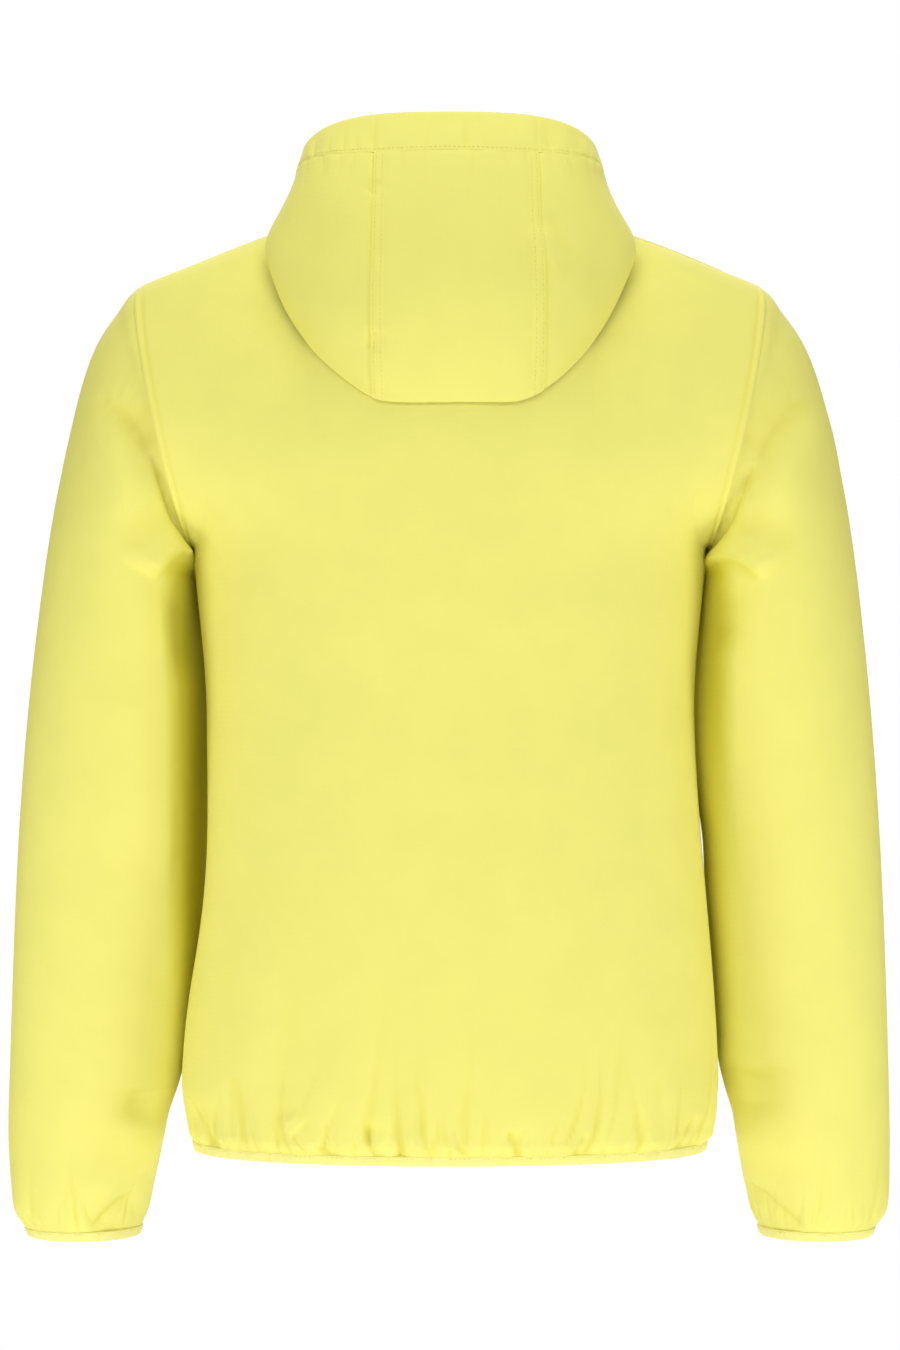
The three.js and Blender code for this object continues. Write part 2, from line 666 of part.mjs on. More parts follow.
// The sleeve's outer face: u once round it, from the outside by the back, and v from armhole to cuff.
function sleeveFace(u, v) {
  const outer = sleeveOuter.getPointAt(clamp(v, 0, 1));
  const inner = sleeveInner.getPointAt(clamp(v, 0, 1) ** 1.6);
  const middle = outer.clone().add(inner).multiplyScalar(0.5);
  const angle = u * 2 * Math.PI;
  return middle
    .addScaledVector(outer.sub(inner), 0.5 * Math.cos(angle))
    .add(V(0, sleeveDepth(v) * Math.sin(angle) - SLEEVE_FORWARD * ease(v), 0))
    .addScaledVector(armholeAxis, SEAM);
}

const sleeveOutward = (v) => (p) => {
  const outer = sleeveOuter.getPointAt(v);
  const inner = sleeveInner.getPointAt(v ** 1.6);
  const middle = outer.add(inner).multiplyScalar(0.5);
  return p.clone().sub(middle).add(V(0, SLEEVE_FORWARD * ease(v), 0));
};
const CUFF_SHARE = BINDING / sleeveOuter.getLength();

// One length of sleeve, between two values of v.
function sleeveLength(from, to, rows, thickness) {
  const surface = (u, v) => sleeveFace(u, lerp(from, to, v));
  const outward = (p) => {
    const z = clamp((SHOULDER_Z - p.z) / (CUFF_DROP + SHOULDER_Z), 0, 1);
    return sleeveOutward(from > 0.5 ? (from + to) / 2 : z)(p);
  };
  const trim = (u, v, normal) => {
    if (from > 0 || v > 0) return normal;
    return normal.addScaledVector(armholeAxis, -normal.dot(armholeAxis)).normalize();
  };
  return sheet(surface, evenly(20), rows, thickness, outward, { wrap: true, trim });
}

const sleeve = () => sleeveLength(0, 1 - CUFF_SHARE - 0.0008, 14, CLOTH);
const cuffBinding = () => sleeveLength(1 - CUFF_SHARE, 1, 1, BINDING_THICK);

// ---------------------------------------------------------------- zips
// A zip's own frame: x across it, y inwards from the face of the cloth, z up its length from its bottom.
function zipSizes(scale, tapeDepth, edge, tabLift) {
  return {
    edge,
    tabLift, // from the slider's front plate out to the bar that the tab turns on
    chainIn: 0.8 * scale, // from the middle to the near side of a chain
    chainOut: 3 * scale,
    tapeOut: 12 * scale,
    tapeFront: tapeDepth,
    tapeBack: tapeDepth + 0.5,
    chainHalfThick: 1.3 * scale,
    sliderHalf: 5.2 * scale,
    sliderLength: 14 * scale,
    plate: 1.5 * scale,
    tabLength: 30 * scale,
    scale,
  };
}

const frontZip = zipSizes(1, 2.7, ZIP_EDGE, 1);
const pocketZip = zipSizes(0.8, 3.4, 6, 2.4);
const LENGTH = Math.hypot(COLLAR_TOP_FRONT - HEM_Z, ZIP_TOP_Y - ZIP_BOTTOM_Y);
const PIN = 15; // length of the pins at the bottom of the front zip
const BOX_BOTTOM = 5;
const BOX_TOP = 14;
const STOP = 3.2; // length of a stop

const SLIDER_PLAY = 0.35; // clearance between a slider and its chain

const tapeMiddle = (zip) => (zip.tapeFront + zip.tapeBack) / 2;

function chainHalf(zip, bottom, top) {
  const middle = tapeMiddle(zip);
  return block(
    [zip.chainIn, middle - zip.chainHalfThick, bottom],
    [zip.chainOut, middle + zip.chainHalfThick, top],
  );
}

function tape(zip, bottom, top) {
  return block(
    [zip.chainOut + 0.3, zip.tapeFront, bottom],
    [zip.tapeOut, zip.tapeBack, top],
  );
}

// A slider whose middle is at the frame's origin: two plates joined by a post, with a bridge for the tab.
function slider(zip) {
  const middle = tapeMiddle(zip);
  const half = zip.sliderLength / 2;
  const gap = zip.chainHalfThick + SLIDER_PLAY;
  const front = middle - gap - zip.plate;
  const back = middle + gap + zip.plate;
  const body = block([-zip.sliderHalf, front, -half], [zip.sliderHalf, back, half]);
  const reach = zip.chainOut + SLIDER_PLAY;
  const channel = (side) =>
    block(
      [side < 0 ? -reach : 0.5, middle - gap, -half - 1],
      [side < 0 ? -0.5 : reach, middle + gap, half + 1],
    );
  const belowPost = block([-1, middle - gap, -half - 1], [1, middle + gap, half - 4.2]);
  const slot = (side) =>
    block(
      [side < 0 ? -zip.sliderHalf - 1 : reach - 0.1, middle - 0.6, -half - 1],
      [side < 0 ? 0.1 - reach : zip.sliderHalf + 1, middle + 0.6, half + 1],
    );
  const shell = cut(body, channel(-1), channel(1), belowPost, slot(-1), slot(1));
  const arch = bridge(zip, front);
  return join(shell, arch);
}

const TAB_RADIUS = 0.6;
const tabAxisY = (zip) =>
  tapeMiddle(zip) - zip.chainHalfThick - SLIDER_PLAY - zip.plate - zip.tabLift;

// The arch on the slider's front plate that holds the tab's bar.
function bridge(zip, front) {
  const inside = front - zip.tabLift - TAB_RADIUS - 0.4;
  const arch = block([-1.2, inside - 1, -4.2], [1.2, front + 0.3, 4.2]);
  const hole = block([-2, inside, -3], [2, front + 0.1, 3]);
  return cut(arch, hole);
}

// The pull tab hangs from a bar through the bridge. Its frame's origin is the bar's middle.
function pullTab(zip) {
  const bar = new THREE.CylinderGeometry(TAB_RADIUS, TAB_RADIUS, 5.6, 10).rotateZ(Math.PI / 2);
  const arm = (x) => block([x - 0.6, -TAB_RADIUS, -8], [x + 0.6, TAB_RADIUS, TAB_RADIUS]);
  const plate = block([-2.8, -TAB_RADIUS, -zip.tabLength], [2.8, TAB_RADIUS, -6.4]);
  const grip = block([-3.4, -1.2, -zip.tabLength - 2], [3.4, TAB_RADIUS, -zip.tabLength + 12 * zip.scale]);
  return join(bar, arm(-2.2), arm(2.2), plate, grip);
}

function topStop(zip, from) {
  const middle = tapeMiddle(zip);
  return block(
    [zip.chainIn, middle - 1.6, from],
    [zip.chainOut + 0.15, middle + 1.6, from + STOP],
  );
}

// The retainer box holds its own pin on the right. The left pin slides into it.
function retainerBox() {
  const middle = tapeMiddle(frontZip);
  const body = block([-4.2, middle - 2.1, BOX_BOTTOM], [4.2, middle + 2.1, BOX_TOP]);
  const pin = block(
    [-frontZip.chainOut, middle - 1.2, BOX_TOP - 0.5],
    [-frontZip.chainIn, middle + 1.2, BOX_TOP + PIN],
  );
  const socket = block(
    [frontZip.chainIn - 0.3, middle - 1.5, BOX_BOTTOM + 3],
    [frontZip.chainOut + 0.2, middle + 1.5, BOX_TOP + 1],
  );
  const tapeSlot = (side) =>
    block(
      [side < 0 ? -5 : frontZip.chainOut, middle - 0.55, BOX_BOTTOM + 3],
      [side < 0 ? -frontZip.chainOut - 0.1 : 5, middle + 0.55, BOX_TOP + 1],
    );
  return join(cut(body, socket, tapeSlot(1), tapeSlot(-1)), pin);
}

function insertionPin() {
  const middle = tapeMiddle(frontZip);
  return block(
    [frontZip.chainIn, middle - 1.2, BOX_BOTTOM + 3.3],
    [frontZip.chainOut, middle + 1.2, BOX_TOP + PIN],
  );
}

const FLAP_BACK = 8.4; // depth of the storm flap behind the face of the cloth
const FLAP_HALF = 14;

function stormFlap() {
  const web = frontZip.tapeBack + CLEAR;
  const outline = new THREE.Shape();
  const edge = frontZip.tapeOut - 0.4;
  outline.moveTo(-edge, web);
  outline.lineTo(1.2 - edge, web);
  outline.lineTo(1.2 - edge, FLAP_BACK - 1);
  outline.lineTo(FLAP_HALF, FLAP_BACK - 1);
  outline.lineTo(FLAP_HALF, FLAP_BACK);
  outline.lineTo(-edge, FLAP_BACK);
  outline.closePath();
  return new THREE.ExtrudeGeometry(outline, { depth: LENGTH - 16, bevelEnabled: false }).translate(
    0,
    0,
    8,
  );
}

// Cloth that folds over the zip's top end, so that the slider doesn't scratch the chin.
function chinGuard() {
  const half = ZIP_EDGE - 0.6;
  const [front, back] = [-0.4, FLAP_BACK + CLEAR];
  const [under, top] = [LENGTH + 0.2, LENGTH + 1.2];
  const corners = [
    [front, top],
    [back + 1, top],
    [back + 1, LENGTH - 34],
    [back, LENGTH - 34],
    [back, under],
    [front, under],
  ];
  const outline = new THREE.Shape(corners.map(([y, z]) => new THREE.Vector2(y, z)));
  const made = new THREE.ExtrudeGeometry(outline, { depth: 2 * half, bevelEnabled: false });
  // The outline is drawn in y and z, and its depth runs along x.
  const turn = new THREE.Matrix4().makeBasis(V(0, 1, 0), V(0, 0, 1), V(1, 0, 0));
  return made.applyMatrix4(turn).translate(-half, 0, 0);
}

// ---------------------------------------------------------------- pockets
const BAG_GAP = 0.9;

// The bag lies flat behind the front, its two layers together, with its mouth round the zip.
function pocketBag() {
  const [topU, topV] = pocket.top;
  const bottomV = pocket.bottom[1];
  const surface = (u, v) => {
    const at = [lerp(0.16, topU + 0.22, u), lerp(bottomV - 0.05, topV + 0.03, v)];
    const normal = normalAt(frontFace, ...at, fromMiddle);
    return frontFace(...at).addScaledVector(normal, -pocketZip.tapeBack - BAG_GAP);
  };
  const pouch = sheet(surface, evenly(9), 9, 1, fromMiddle);
  const mouth = block([-6.4, -4, -6], [6.4, 20, POCKET_LENGTH + 6]).applyMatrix4(pocket.matrix);
  return cut(pouch, mouth);
}

// A narrow frame of tape round the pocket's opening, with the zip's own tapes on it.
function pocketTape() {
  const frame = block(
    [-pocketZip.tapeOut, pocketZip.tapeFront, -7],
    [pocketZip.tapeOut, pocketZip.tapeBack, POCKET_LENGTH + 7],
  );
  const gap = block(
    [-pocketZip.chainOut - 0.3, 0, -1.5],
    [pocketZip.chainOut + 0.3, 6, POCKET_LENGTH + 1.5],
  );
  return cut(frame, gap);
}

function pocketChain() {
  const tie = (z) =>
    block(
      [-pocketZip.chainOut, tapeMiddle(pocketZip) - 0.9, z],
      [pocketZip.chainOut, tapeMiddle(pocketZip) + 0.9, z + 1],
    );
  const left = chainHalf(pocketZip, 0, POCKET_LENGTH);
  const right = onRight(chainHalf(pocketZip, 0, POCKET_LENGTH));
  return join(left, right, tie(-0.6), tie(POCKET_LENGTH - 0.4));
}

// ---------------------------------------------------------------- assembly
const material = (color, roughness, metalness = 0) =>
  new THREE.MeshStandardMaterial({ color, roughness, metalness });
const shell = material(0xf6ef82, 0.75);
const elastic = material(0xf3ec8a, 0.65);
const lining = material(0xe9e6d8, 0.9);
const zipTape = material(0xece57c, 0.85);
const teeth = material(0xe8e070, 0.4);
const metal = material(0xb9b9b4, 0.3, 0.9);

const jacket = new THREE.Group();

function add(parent, name, geometry, finish) {
  const mesh = new THREE.Mesh(geometry, finish);
  mesh.name = name;
  parent.add(mesh);
  return mesh;
}

// Adds a piece on the wearer's left and its mirror image on the right.
function addPair(parent, name, geometry, finish) {
  add(parent, name + "_left", geometry, finish);
  add(parent, name + "_right", onRight(geometry), finish);
}

function addBody() {
  add(jacket, "back_panel", backPanel(), shell);
  addPair(jacket, "front_panel", frontPanel(), shell);
  add(jacket, "hem_binding", hemBinding(), elastic);
  add(jacket, "collar", collar(), shell);
  add(jacket, "collar_facing", collarFacing(), lining);
  add(jacket, "neck_tape", neckTape(), lining);
  add(jacket, "hanger_loop", hangerLoop(), elastic);
  add(jacket, "neck_label", neckLabel(), lining);
}

function addHood() {
  add(jacket, "hood_centre_panel", hoodCentre(), shell);
  addPair(jacket, "hood_side_panel", hoodSide(), shell);
  add(jacket, "hood_rim_band", hoodBand(), shell);
  add(jacket, "hood_rim_elastic", hoodElastic(), elastic);
  add(jacket, "hood_underlap", hoodUnderlap(), shell);
}

function addSleeves() {
  addPair(jacket, "sleeve", sleeve(), shell);
  addPair(jacket, "cuff_binding", cuffBinding(), elastic);
}

const CHAIN_TOP = LENGTH - STOP - 1.2;
const SLIDER_REST = CHAIN_TOP - frontZip.sliderLength / 2 - 0.6;

function addFrontZip() {
  const line = new THREE.Group();
  line.position.set(0, ZIP_BOTTOM_Y, HEM_Z);
  line.rotation.x = -Math.atan2(ZIP_TOP_Y - ZIP_BOTTOM_Y, COLLAR_TOP_FRONT - HEM_Z);
  jacket.add(line);
  addPair(line, "zip_tape", tape(frontZip, BINDING + 0.6, LENGTH - 0.8), zipTape);
  add(line, "zip_teeth_left", chainHalf(frontZip, BOX_TOP + PIN + 0.3, CHAIN_TOP), teeth);
  const right = onRight(chainHalf(frontZip, BOX_TOP + PIN + 0.3, CHAIN_TOP));
  add(line, "zip_teeth_right", right, teeth);
  addPair(line, "zip_top_stop", topStop(frontZip, CHAIN_TOP + 0.3), teeth);
  add(line, "zip_retainer_box", retainerBox(), teeth);
  add(line, "zip_insertion_pin", insertionPin(), teeth);
  add(line, "storm_flap", stormFlap(), shell);
  add(line, "chin_guard", chinGuard(), shell);
  add(line, "zip_slider", slider(frontZip), metal).position.z = SLIDER_REST;
  const tab = add(line, "zip_pull", pullTab(frontZip), metal);
  tab.position.set(0, tabAxisY(frontZip), SLIDER_REST);
}

const POCKET_REST = POCKET_LENGTH - pocketZip.sliderLength / 2 - 1;

// Places a geometry made in the pocket's own frame, with its bottom at z = 0, on the left front.
const onPocket = (geometry) => geometry.clone().applyMatrix4(pocket.matrix);

function addPockets() {
  addPair(jacket, "pocket_bag", pocketBag(), lining);
  addPair(jacket, "pocket_tape", onPocket(pocketTape()), zipTape);
  addPair(jacket, "pocket_teeth", onPocket(pocketChain()), teeth);
  const body = slider(pocketZip).translate(0, 0, POCKET_REST);
  addPair(jacket, "pocket_slider", onPocket(body), metal);
  const tab = pullTab(pocketZip).translate(0, tabAxisY(pocketZip), POCKET_REST);
  addPair(jacket, "pocket_pull", onPocket(tab), metal);
}

addBody();
addHood();
addSleeves();
addFrontZip();
addPockets();

// Where the moving pieces turn and slide, in millimetres, for whoever sets up the joints.
const along = (matrix, x, y, z) => V(x, y, z).transformDirection(matrix).toArray();
const place = (matrix, x, y, z) => V(x, y, z).applyMatrix4(matrix).toArray();
jacket.updateMatrixWorld(true);
const zipFrame = jacket.getObjectByName("zip_slider").parent.matrixWorld;
jacket.userData.joints = {
  sleeve: { at: armholeMiddle.toArray(), axis: armholeAxis.toArray() },
  hood: { at: [0, HOOD_AXIS_Y, HOOD_AXIS_Z], axis: [1, 0, 0] },
  zip: { axis: along(zipFrame, 0, 0, -1), travel: SLIDER_REST - BOX_TOP - 0.6 - frontZip.sliderLength / 2 },
  pull: { at: place(zipFrame, 0, tabAxisY(frontZip), SLIDER_REST) },
  pocket: { axis: along(pocket.matrix, 0, 0, -1), travel: POCKET_REST - pocketZip.sliderLength / 2 - 1 },
  pocketPull: {
    at: place(pocket.matrix, 0, tabAxisY(pocketZip), POCKET_REST),
    axis: along(pocket.matrix, -1, 0, 0),
  },
};

export default jacket;
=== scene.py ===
# %% [markdown]
# # A hooded softshell ski jacket
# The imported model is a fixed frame: it holds the jacket's pieces at their real size, the bodies that they
# move with, and the joints. This lesson dresses that frame. Each plain cloth solid is replaced by a cloth
# with seams, gathers and folds, and each hard piece gets a finish.

# %% Load the frame
import json
import math

import bmesh
import bpy
import numpy as np
from mathutils import Matrix, Vector


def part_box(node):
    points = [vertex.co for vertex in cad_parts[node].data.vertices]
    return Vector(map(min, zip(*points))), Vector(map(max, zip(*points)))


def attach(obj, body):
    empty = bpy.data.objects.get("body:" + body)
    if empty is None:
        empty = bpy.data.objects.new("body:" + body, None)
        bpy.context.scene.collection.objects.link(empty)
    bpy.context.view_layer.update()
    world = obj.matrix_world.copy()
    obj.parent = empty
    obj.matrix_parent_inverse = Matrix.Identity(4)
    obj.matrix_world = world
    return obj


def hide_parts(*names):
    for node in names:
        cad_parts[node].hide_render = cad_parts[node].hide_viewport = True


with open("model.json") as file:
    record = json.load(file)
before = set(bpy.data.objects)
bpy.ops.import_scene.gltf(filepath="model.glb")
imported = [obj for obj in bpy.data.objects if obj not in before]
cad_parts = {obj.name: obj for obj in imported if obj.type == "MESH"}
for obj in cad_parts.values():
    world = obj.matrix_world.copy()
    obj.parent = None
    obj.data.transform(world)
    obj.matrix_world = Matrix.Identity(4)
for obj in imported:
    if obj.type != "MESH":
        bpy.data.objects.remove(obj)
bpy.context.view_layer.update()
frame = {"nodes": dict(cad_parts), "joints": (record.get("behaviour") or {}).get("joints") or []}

joints = {joint["name"]: joint for joint in frame["joints"]}
MM = 0.001  # the pattern below is drawn in millimetres, as a cutter draws it

# %% [markdown]
# ## Camera, floor and light
# The jacket is seen from behind, from the height of its middle. A long lens from 2.6 m away keeps the
# outline nearly flat. The world is white on every side, like a tent of diffusers. One broad lamp hangs
# overhead, and pairs of lamps stand high and low behind the jacket, low at its sides and in front of it. They
# make its lower half brightest and show the gathers. The floor is far below, because the jacket hangs in the
# air as if worn.

# %% Camera and studio
VIEW_HEIGHT = 1.002  # height of the picture, at the jacket's middle
VIEW_CENTRE_Z = -0.319
VIEW_DISTANCE = 2.6
SENSOR = 36
WALL_LIGHT = 0.28  # what the white walls send back to the jacket; the camera sees them at 1
FLOOR_Z = -1.7
FLOOR_SIZE = 6


def add_camera():
    data = bpy.data.cameras.new("camera")
    data.sensor_width = SENSOR
    data.lens = SENSOR * VIEW_DISTANCE / VIEW_HEIGHT
    camera = bpy.data.objects.new("camera", data)
    camera.location = (0, VIEW_DISTANCE, VIEW_CENTRE_Z)
    camera.rotation_euler = (math.radians(90), 0, math.radians(180))
    bpy.context.collection.objects.link(camera)
    bpy.context.scene.camera = camera


def add_lamp(name, place, aim, size, watts):
    data = bpy.data.lights.new(name, "AREA")
    data.shape = "SQUARE"
    data.size = size
    data.energy = watts
    lamp = bpy.data.objects.new(name, data)
    lamp.location = place
    lamp.rotation_euler = (Vector(aim) - Vector(place)).to_track_quat("-Z", "Y").to_euler()
    bpy.context.collection.objects.link(lamp)


def add_world(strength):
    """White walls all round. They are lit brighter than the light that they send back to the jacket."""
    world = bpy.data.worlds.new("studio")
    world.use_nodes = True
    tree = world.node_tree
    background = tree.nodes["Background"]
    background.inputs["Color"].default_value = (1, 1, 1, 1)
    path = tree.nodes.new("ShaderNodeLightPath")
    level = tree.nodes.new("ShaderNodeMapRange")
    level.inputs["To Min"].default_value = strength
    level.inputs["To Max"].default_value = 1.0
    tree.links.new(path.outputs["Is Camera Ray"], level.inputs["Value"])
    tree.links.new(level.outputs["Result"], background.inputs["Strength"])
    bpy.context.scene.world = world


def add_floor(z, size):
    bm = bmesh.new()
    bmesh.ops.create_grid(bm, x_segments=1, y_segments=1, size=size / 2)
    bmesh.ops.translate(bm, verts=bm.verts, vec=(0, 0, z))
    mesh = bpy.data.meshes.new("floor")
    bm.to_mesh(mesh)
    bm.free()
    floor = bpy.data.objects.new("floor", mesh)
    bpy.context.collection.objects.link(floor)
    paint = bpy.data.materials.new("floor_paint")
    paint.use_nodes = True
    shader = paint.node_tree.nodes["Principled BSDF"]
    shader.inputs["Base Color"].default_value = (0.95, 0.95, 0.95, 1)
    shader.inputs["Roughness"].default_value = 0.9
    mesh.materials.append(paint)


add_camera()
add_world(WALL_LIGHT)
for side, name in ((1, "left"), (-1, "right")):
    add_lamp("rear_high_" + name, (0.7 * side, 1.9, 0.9), (0, 0, -0.1), 0.9, 8.5)
    add_lamp("rear_low_" + name, (0.5 * side, 1.2, -1.5), (0, 0, -0.6), 0.7, 4.2)
    add_lamp("side_low_" + name, (1.7 * side, 0.9, -1.1), (0.1 * side, 0, -0.6), 0.8, 12)
    add_lamp("front_high_" + name, (0.7 * side, -1.9, 0.9), (0, 0, -0.1), 0.9, 9)
    add_lamp("front_low_" + name, (0.9 * side, -1.7, -1.2), (0, 0, -0.6), 0.8, 5)
add_lamp("overhead", (0, 0.2, 1.7), (0, 0, 0), 1.5, 20)
add_floor(FLOOR_Z, FLOOR_SIZE)
bpy.context.scene.view_settings.view_transform = "Standard"
print("camera", VIEW_DISTANCE, "m behind the jacket")

# %% [markdown]
# ## The pattern
# A jacket is cut flat and takes its form when it is sewn. Here each panel is a formula for the sewn form
# instead: u runs across the panel and v up it, both from 0 to 1. The same sizes drive the frame, so a cloth
# lies exactly where its solid does. What can be read from the frame is read from it.

# %% Sizes of the jacket
def low(node):
    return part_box(node)[0] / MM


def high(node):
    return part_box(node)[1] / MM


CLOTH = 1.2
GAP = 0.12  # half the gap at a sewn seam
HEM_Z = low("hem_binding")[2]
BINDING_TALL = 7.4  # its height once its elastic has drawn it together
PANEL_BOTTOM = HEM_Z + BINDING_TALL - 2  # the cloth ends inside its folded binding
NECK_HALF = 82
NECK_BACK_Y = 64
NECK_SIDE_Z = 24
NECK_FRONT_Z = -62
SHOULDER_HALF = high("back_panel")[0]
ZIP_EDGE = 7
ZIP_TOP = np.array([-100.0, 8.0])  # y and z of the zip's two ends
ZIP_BOTTOM = np.array([-130.0, HEM_Z])
ROUND = 0.62
NECK_SHARE = 0.4
CHEST_SWELL = 9
SHOULDER_BOW = 4  # the shoulder seam's arch over a straight line

swing = joints["left_sleeve_swing"]
pivot = np.array(swing["pos_m"]) / MM
outward_axis = -np.array(swing["axis"])
arm_up = np.array([-outward_axis[2], 0, outward_axis[0]])
arm_radius = (SHOULDER_HALF - pivot[0]) / arm_up[0]
shoulder = pivot + arm_up * arm_radius
armpit = pivot - arm_up * arm_radius
SHOULDER_Z, ARMPIT_Z = shoulder[2], armpit[2]
print("armhole", round(2 * arm_radius), "mm across, armpit at", armpit.round())


# %% Curves that the pattern is drawn with
def lerp(a, b, t):
    return a + (b - a) * t


def ease(t):
    t = np.clip(t, 0, 1)
    return t * t * (3 - 2 * t)


def column(*parts):
    return np.stack(np.broadcast_arrays(*parts), axis=-1).astype(float)


def unit(vectors):
    return vectors / np.maximum(np.linalg.norm(vectors, axis=-1, keepdims=True), 1e-9)


def hump(distance, width):
    """A soft rise to 1 where the distance is 0."""
    return np.exp(-((distance / width) ** 2))


def distances(line):
    """How far along a line each of its points lies."""
    return np.append(0, np.linalg.norm(np.diff(line, axis=0), axis=1).cumsum())


def resampled(at, stations, line):
    """Places on a line at some stations, given the stations of its own points."""
    return np.stack([np.interp(at, stations, row) for row in line.T], axis=-1)


def on_its_side(points, across):
    """Points of the left half, mirrored to the right half where across is negative."""
    return points * column(np.where(across < 0, -1, 1), 1, 1)


def through(stations):
    """A smooth curve through [at, value] stations, in rising order."""
    at, value = np.array(stations, float).T
    count = len(at)
    before = np.maximum(np.arange(count) - 1, 0)
    after = np.minimum(np.arange(count) + 1, count - 1)
    slope = (value[after] - value[before]) / (at[after] - at[before])

    def curve(x):
        i = np.clip(np.searchsorted(at, x, side="right") - 1, 0, count - 2)
        span = at[i + 1] - at[i]
        t = np.clip((x - at[i]) / span, 0, 1)
        bend = t * (1 - t) * span * ((1 - t) * slope[i] - t * slope[i + 1])
        return value[i] + (value[i + 1] - value[i]) * t * t * (3 - 2 * t) + bend

    return curve


def bezier(p, t):
    t = np.asarray(t)[..., None]
    s = 1 - t
    return s**3 * p[0] + 3 * s * s * t * p[1] + 3 * s * t * t * p[2] + t**3 * p[3]


def mirrored(surface):
    return lambda u, v: surface(u, v) * np.array([-1, 1, 1])


# %% Body surface
body_half = through([(HEM_Z, 189), (-616, 199), (-350, 181), (ARMPIT_Z, armpit[0])])
body_depth = through(
    [
        (HEM_Z, 99),
        (-616, 108),
        (-350, 103),
        (ARMPIT_Z, 118 * 0.97),
        (ARMPIT_Z * 0.48, 118),
        (ARMPIT_Z * 0.16, lerp(NECK_BACK_Y, 118, 0.56)),
        (0, NECK_BACK_Y),
    ]
)


def zip_y(z):
    return ZIP_TOP[0] + (z - ZIP_TOP[1]) * (ZIP_BOTTOM[0] - ZIP_TOP[0]) / (ZIP_BOTTOM[1] - ZIP_TOP[1])


def armhole(side, share, outwards=-GAP):
    least = math.asin(GAP / arm_radius)
    angle = lerp(least - math.pi / 2, math.pi / 2 - least, np.asarray(share))[..., None]
    ring = arm_radius * (np.sin(angle) * arm_up + side * np.cos(angle) * np.array([0, 1, 0]))
    return pivot + ring + outwards * outward_axis


def neck_ring(q, half, back_y, back_z, side_z, front_z):
    """q runs from 0 at the nape, by 0.5 over the shoulder, to 1 at the zip."""
    q = np.asarray(q, float)
    angle = np.clip(q, 0, 0.5) * math.pi
    back = np.cos(angle)
    rear = column(half * np.sin(angle), np.maximum(back_y * back, GAP), lerp(side_z, back_z, back**2))
    y = zip_y(front_z)
    curve = [
        np.array([ZIP_EDGE, y, front_z]),
        np.array([half * 0.55, y, front_z]),
        np.array([half, y * 0.52, lerp(side_z, front_z, 0.2)]),
        np.array([half, -GAP, side_z]),
    ]
    front = bezier(curve, np.clip((1 - q) * 2, 0, 1))
    return np.where((q <= 0.5)[..., None], rear, front)


def neck_seam(q):
    return neck_ring(q, NECK_HALF, NECK_BACK_Y, 0, NECK_SIDE_Z, NECK_FRONT_Z)


def top_edge(side, u):
    share = np.clip(u / NECK_SHARE, 0, 1) / 2
    on_neck = neck_seam(share if side > 0 else 1 - share)
    neck = np.array([NECK_HALF, side * GAP, NECK_SIDE_Z])
    out = np.clip((u - NECK_SHARE) / (1 - NECK_SHARE), 0, 1)[..., None]
    on_shoulder = lerp(neck, armhole(side, 1.0), out)
    return np.where((u < NECK_SHARE)[..., None], on_neck, on_shoulder)


def body_section(side, v, bottom):
    s = np.clip(2 * v - 1, 0, 1)
    top = 0 if side > 0 else NECK_FRONT_Z
    z = np.where(v < 0.5, lerp(bottom, ARMPIT_Z, 2 * v), lerp(ARMPIT_Z, top, s))
    start = column(0, body_depth(z), z) if side > 0 else column(ZIP_EDGE, zip_y(z), z)
    seam = column(body_half(z), side * GAP, z)
    end = np.where((v < 0.5)[..., None], seam, armhole(side, s))
    turn = math.pi / 2 * np.sin(math.pi / 2 * np.minimum(1, s * 1.4))
    slope = (SHOULDER_Z - NECK_SIDE_Z) / (SHOULDER_HALF - NECK_HALF)
    heading = column(np.sin(turn), -side * np.cos(turn), slope * s)
    heading = unit(heading)
    reach = lerp(ROUND * np.abs(start[..., 1]), 70, ease(s))[..., None]
    swell = 0 if side > 0 else -CHEST_SWELL * ease(2 * v) * (1 - ease(s))
    first = start + column(ROUND * (end[..., 0] - start[..., 0]), swell, 0)
    return [start, first, end - heading * reach, end]


def body(side, u, v, bottom=PANEL_BOTTOM):
    u, v = np.broadcast_arrays(np.asarray(u, float), np.asarray(v, float))
    point = bezier(body_section(side, v, bottom), u)
    pull = np.clip(2 * v - 1, 0, 1)[..., None] ** 2.4
    top = top_edge(side, u) - bezier(body_section(side, np.ones_like(v), bottom), u)
    on_shoulder = np.clip((u - NECK_SHARE) / (1 - NECK_SHARE), 0, 1)
    return point + pull * (top + column(0, 0, SHOULDER_BOW * np.sin(math.pi * on_shoulder)))


def half_back(u, v):
    return body(1, u, v)


def back_face(u, v):
    """The whole back, with u from the right side seam to the left one."""
    across = 2 * np.asarray(u, float) - 1
    point = half_back(np.abs(across), v)
    return on_its_side(point, across)


def front_face(u, v):
    return body(-1, u, v)


# %% Collar, hood and sleeve surfaces
COLLAR_GAP = 0.5
COLLAR_RIM = (76, 57, 56, 66, 8)  # half width, back y, back z, side z and front z of its upper edge


def collar_face(u, v):
    across = 2 * np.asarray(u, float) - 1
    q = np.abs(across)
    seam = neck_seam(q) + np.array([0, 0, COLLAR_GAP])
    rim = neck_ring(q, *COLLAR_RIM)
    point = lerp(seam, rim, np.asarray(v, float)[..., None])
    return on_its_side(point, across)


HOOD_END = 1.95  # the hood's two ends, in radians round from the middle of the back
HOOD_HALF = 129
HOOD_HANG = 126
HOOD_SIDE_DROP = 24
HOOD_END_X = 115
FOLD_PROUD = 3.8  # how far the hood's fold stands off the back
hood_axis = np.array(joints["hood_lift"]["pos_m"]) / MM


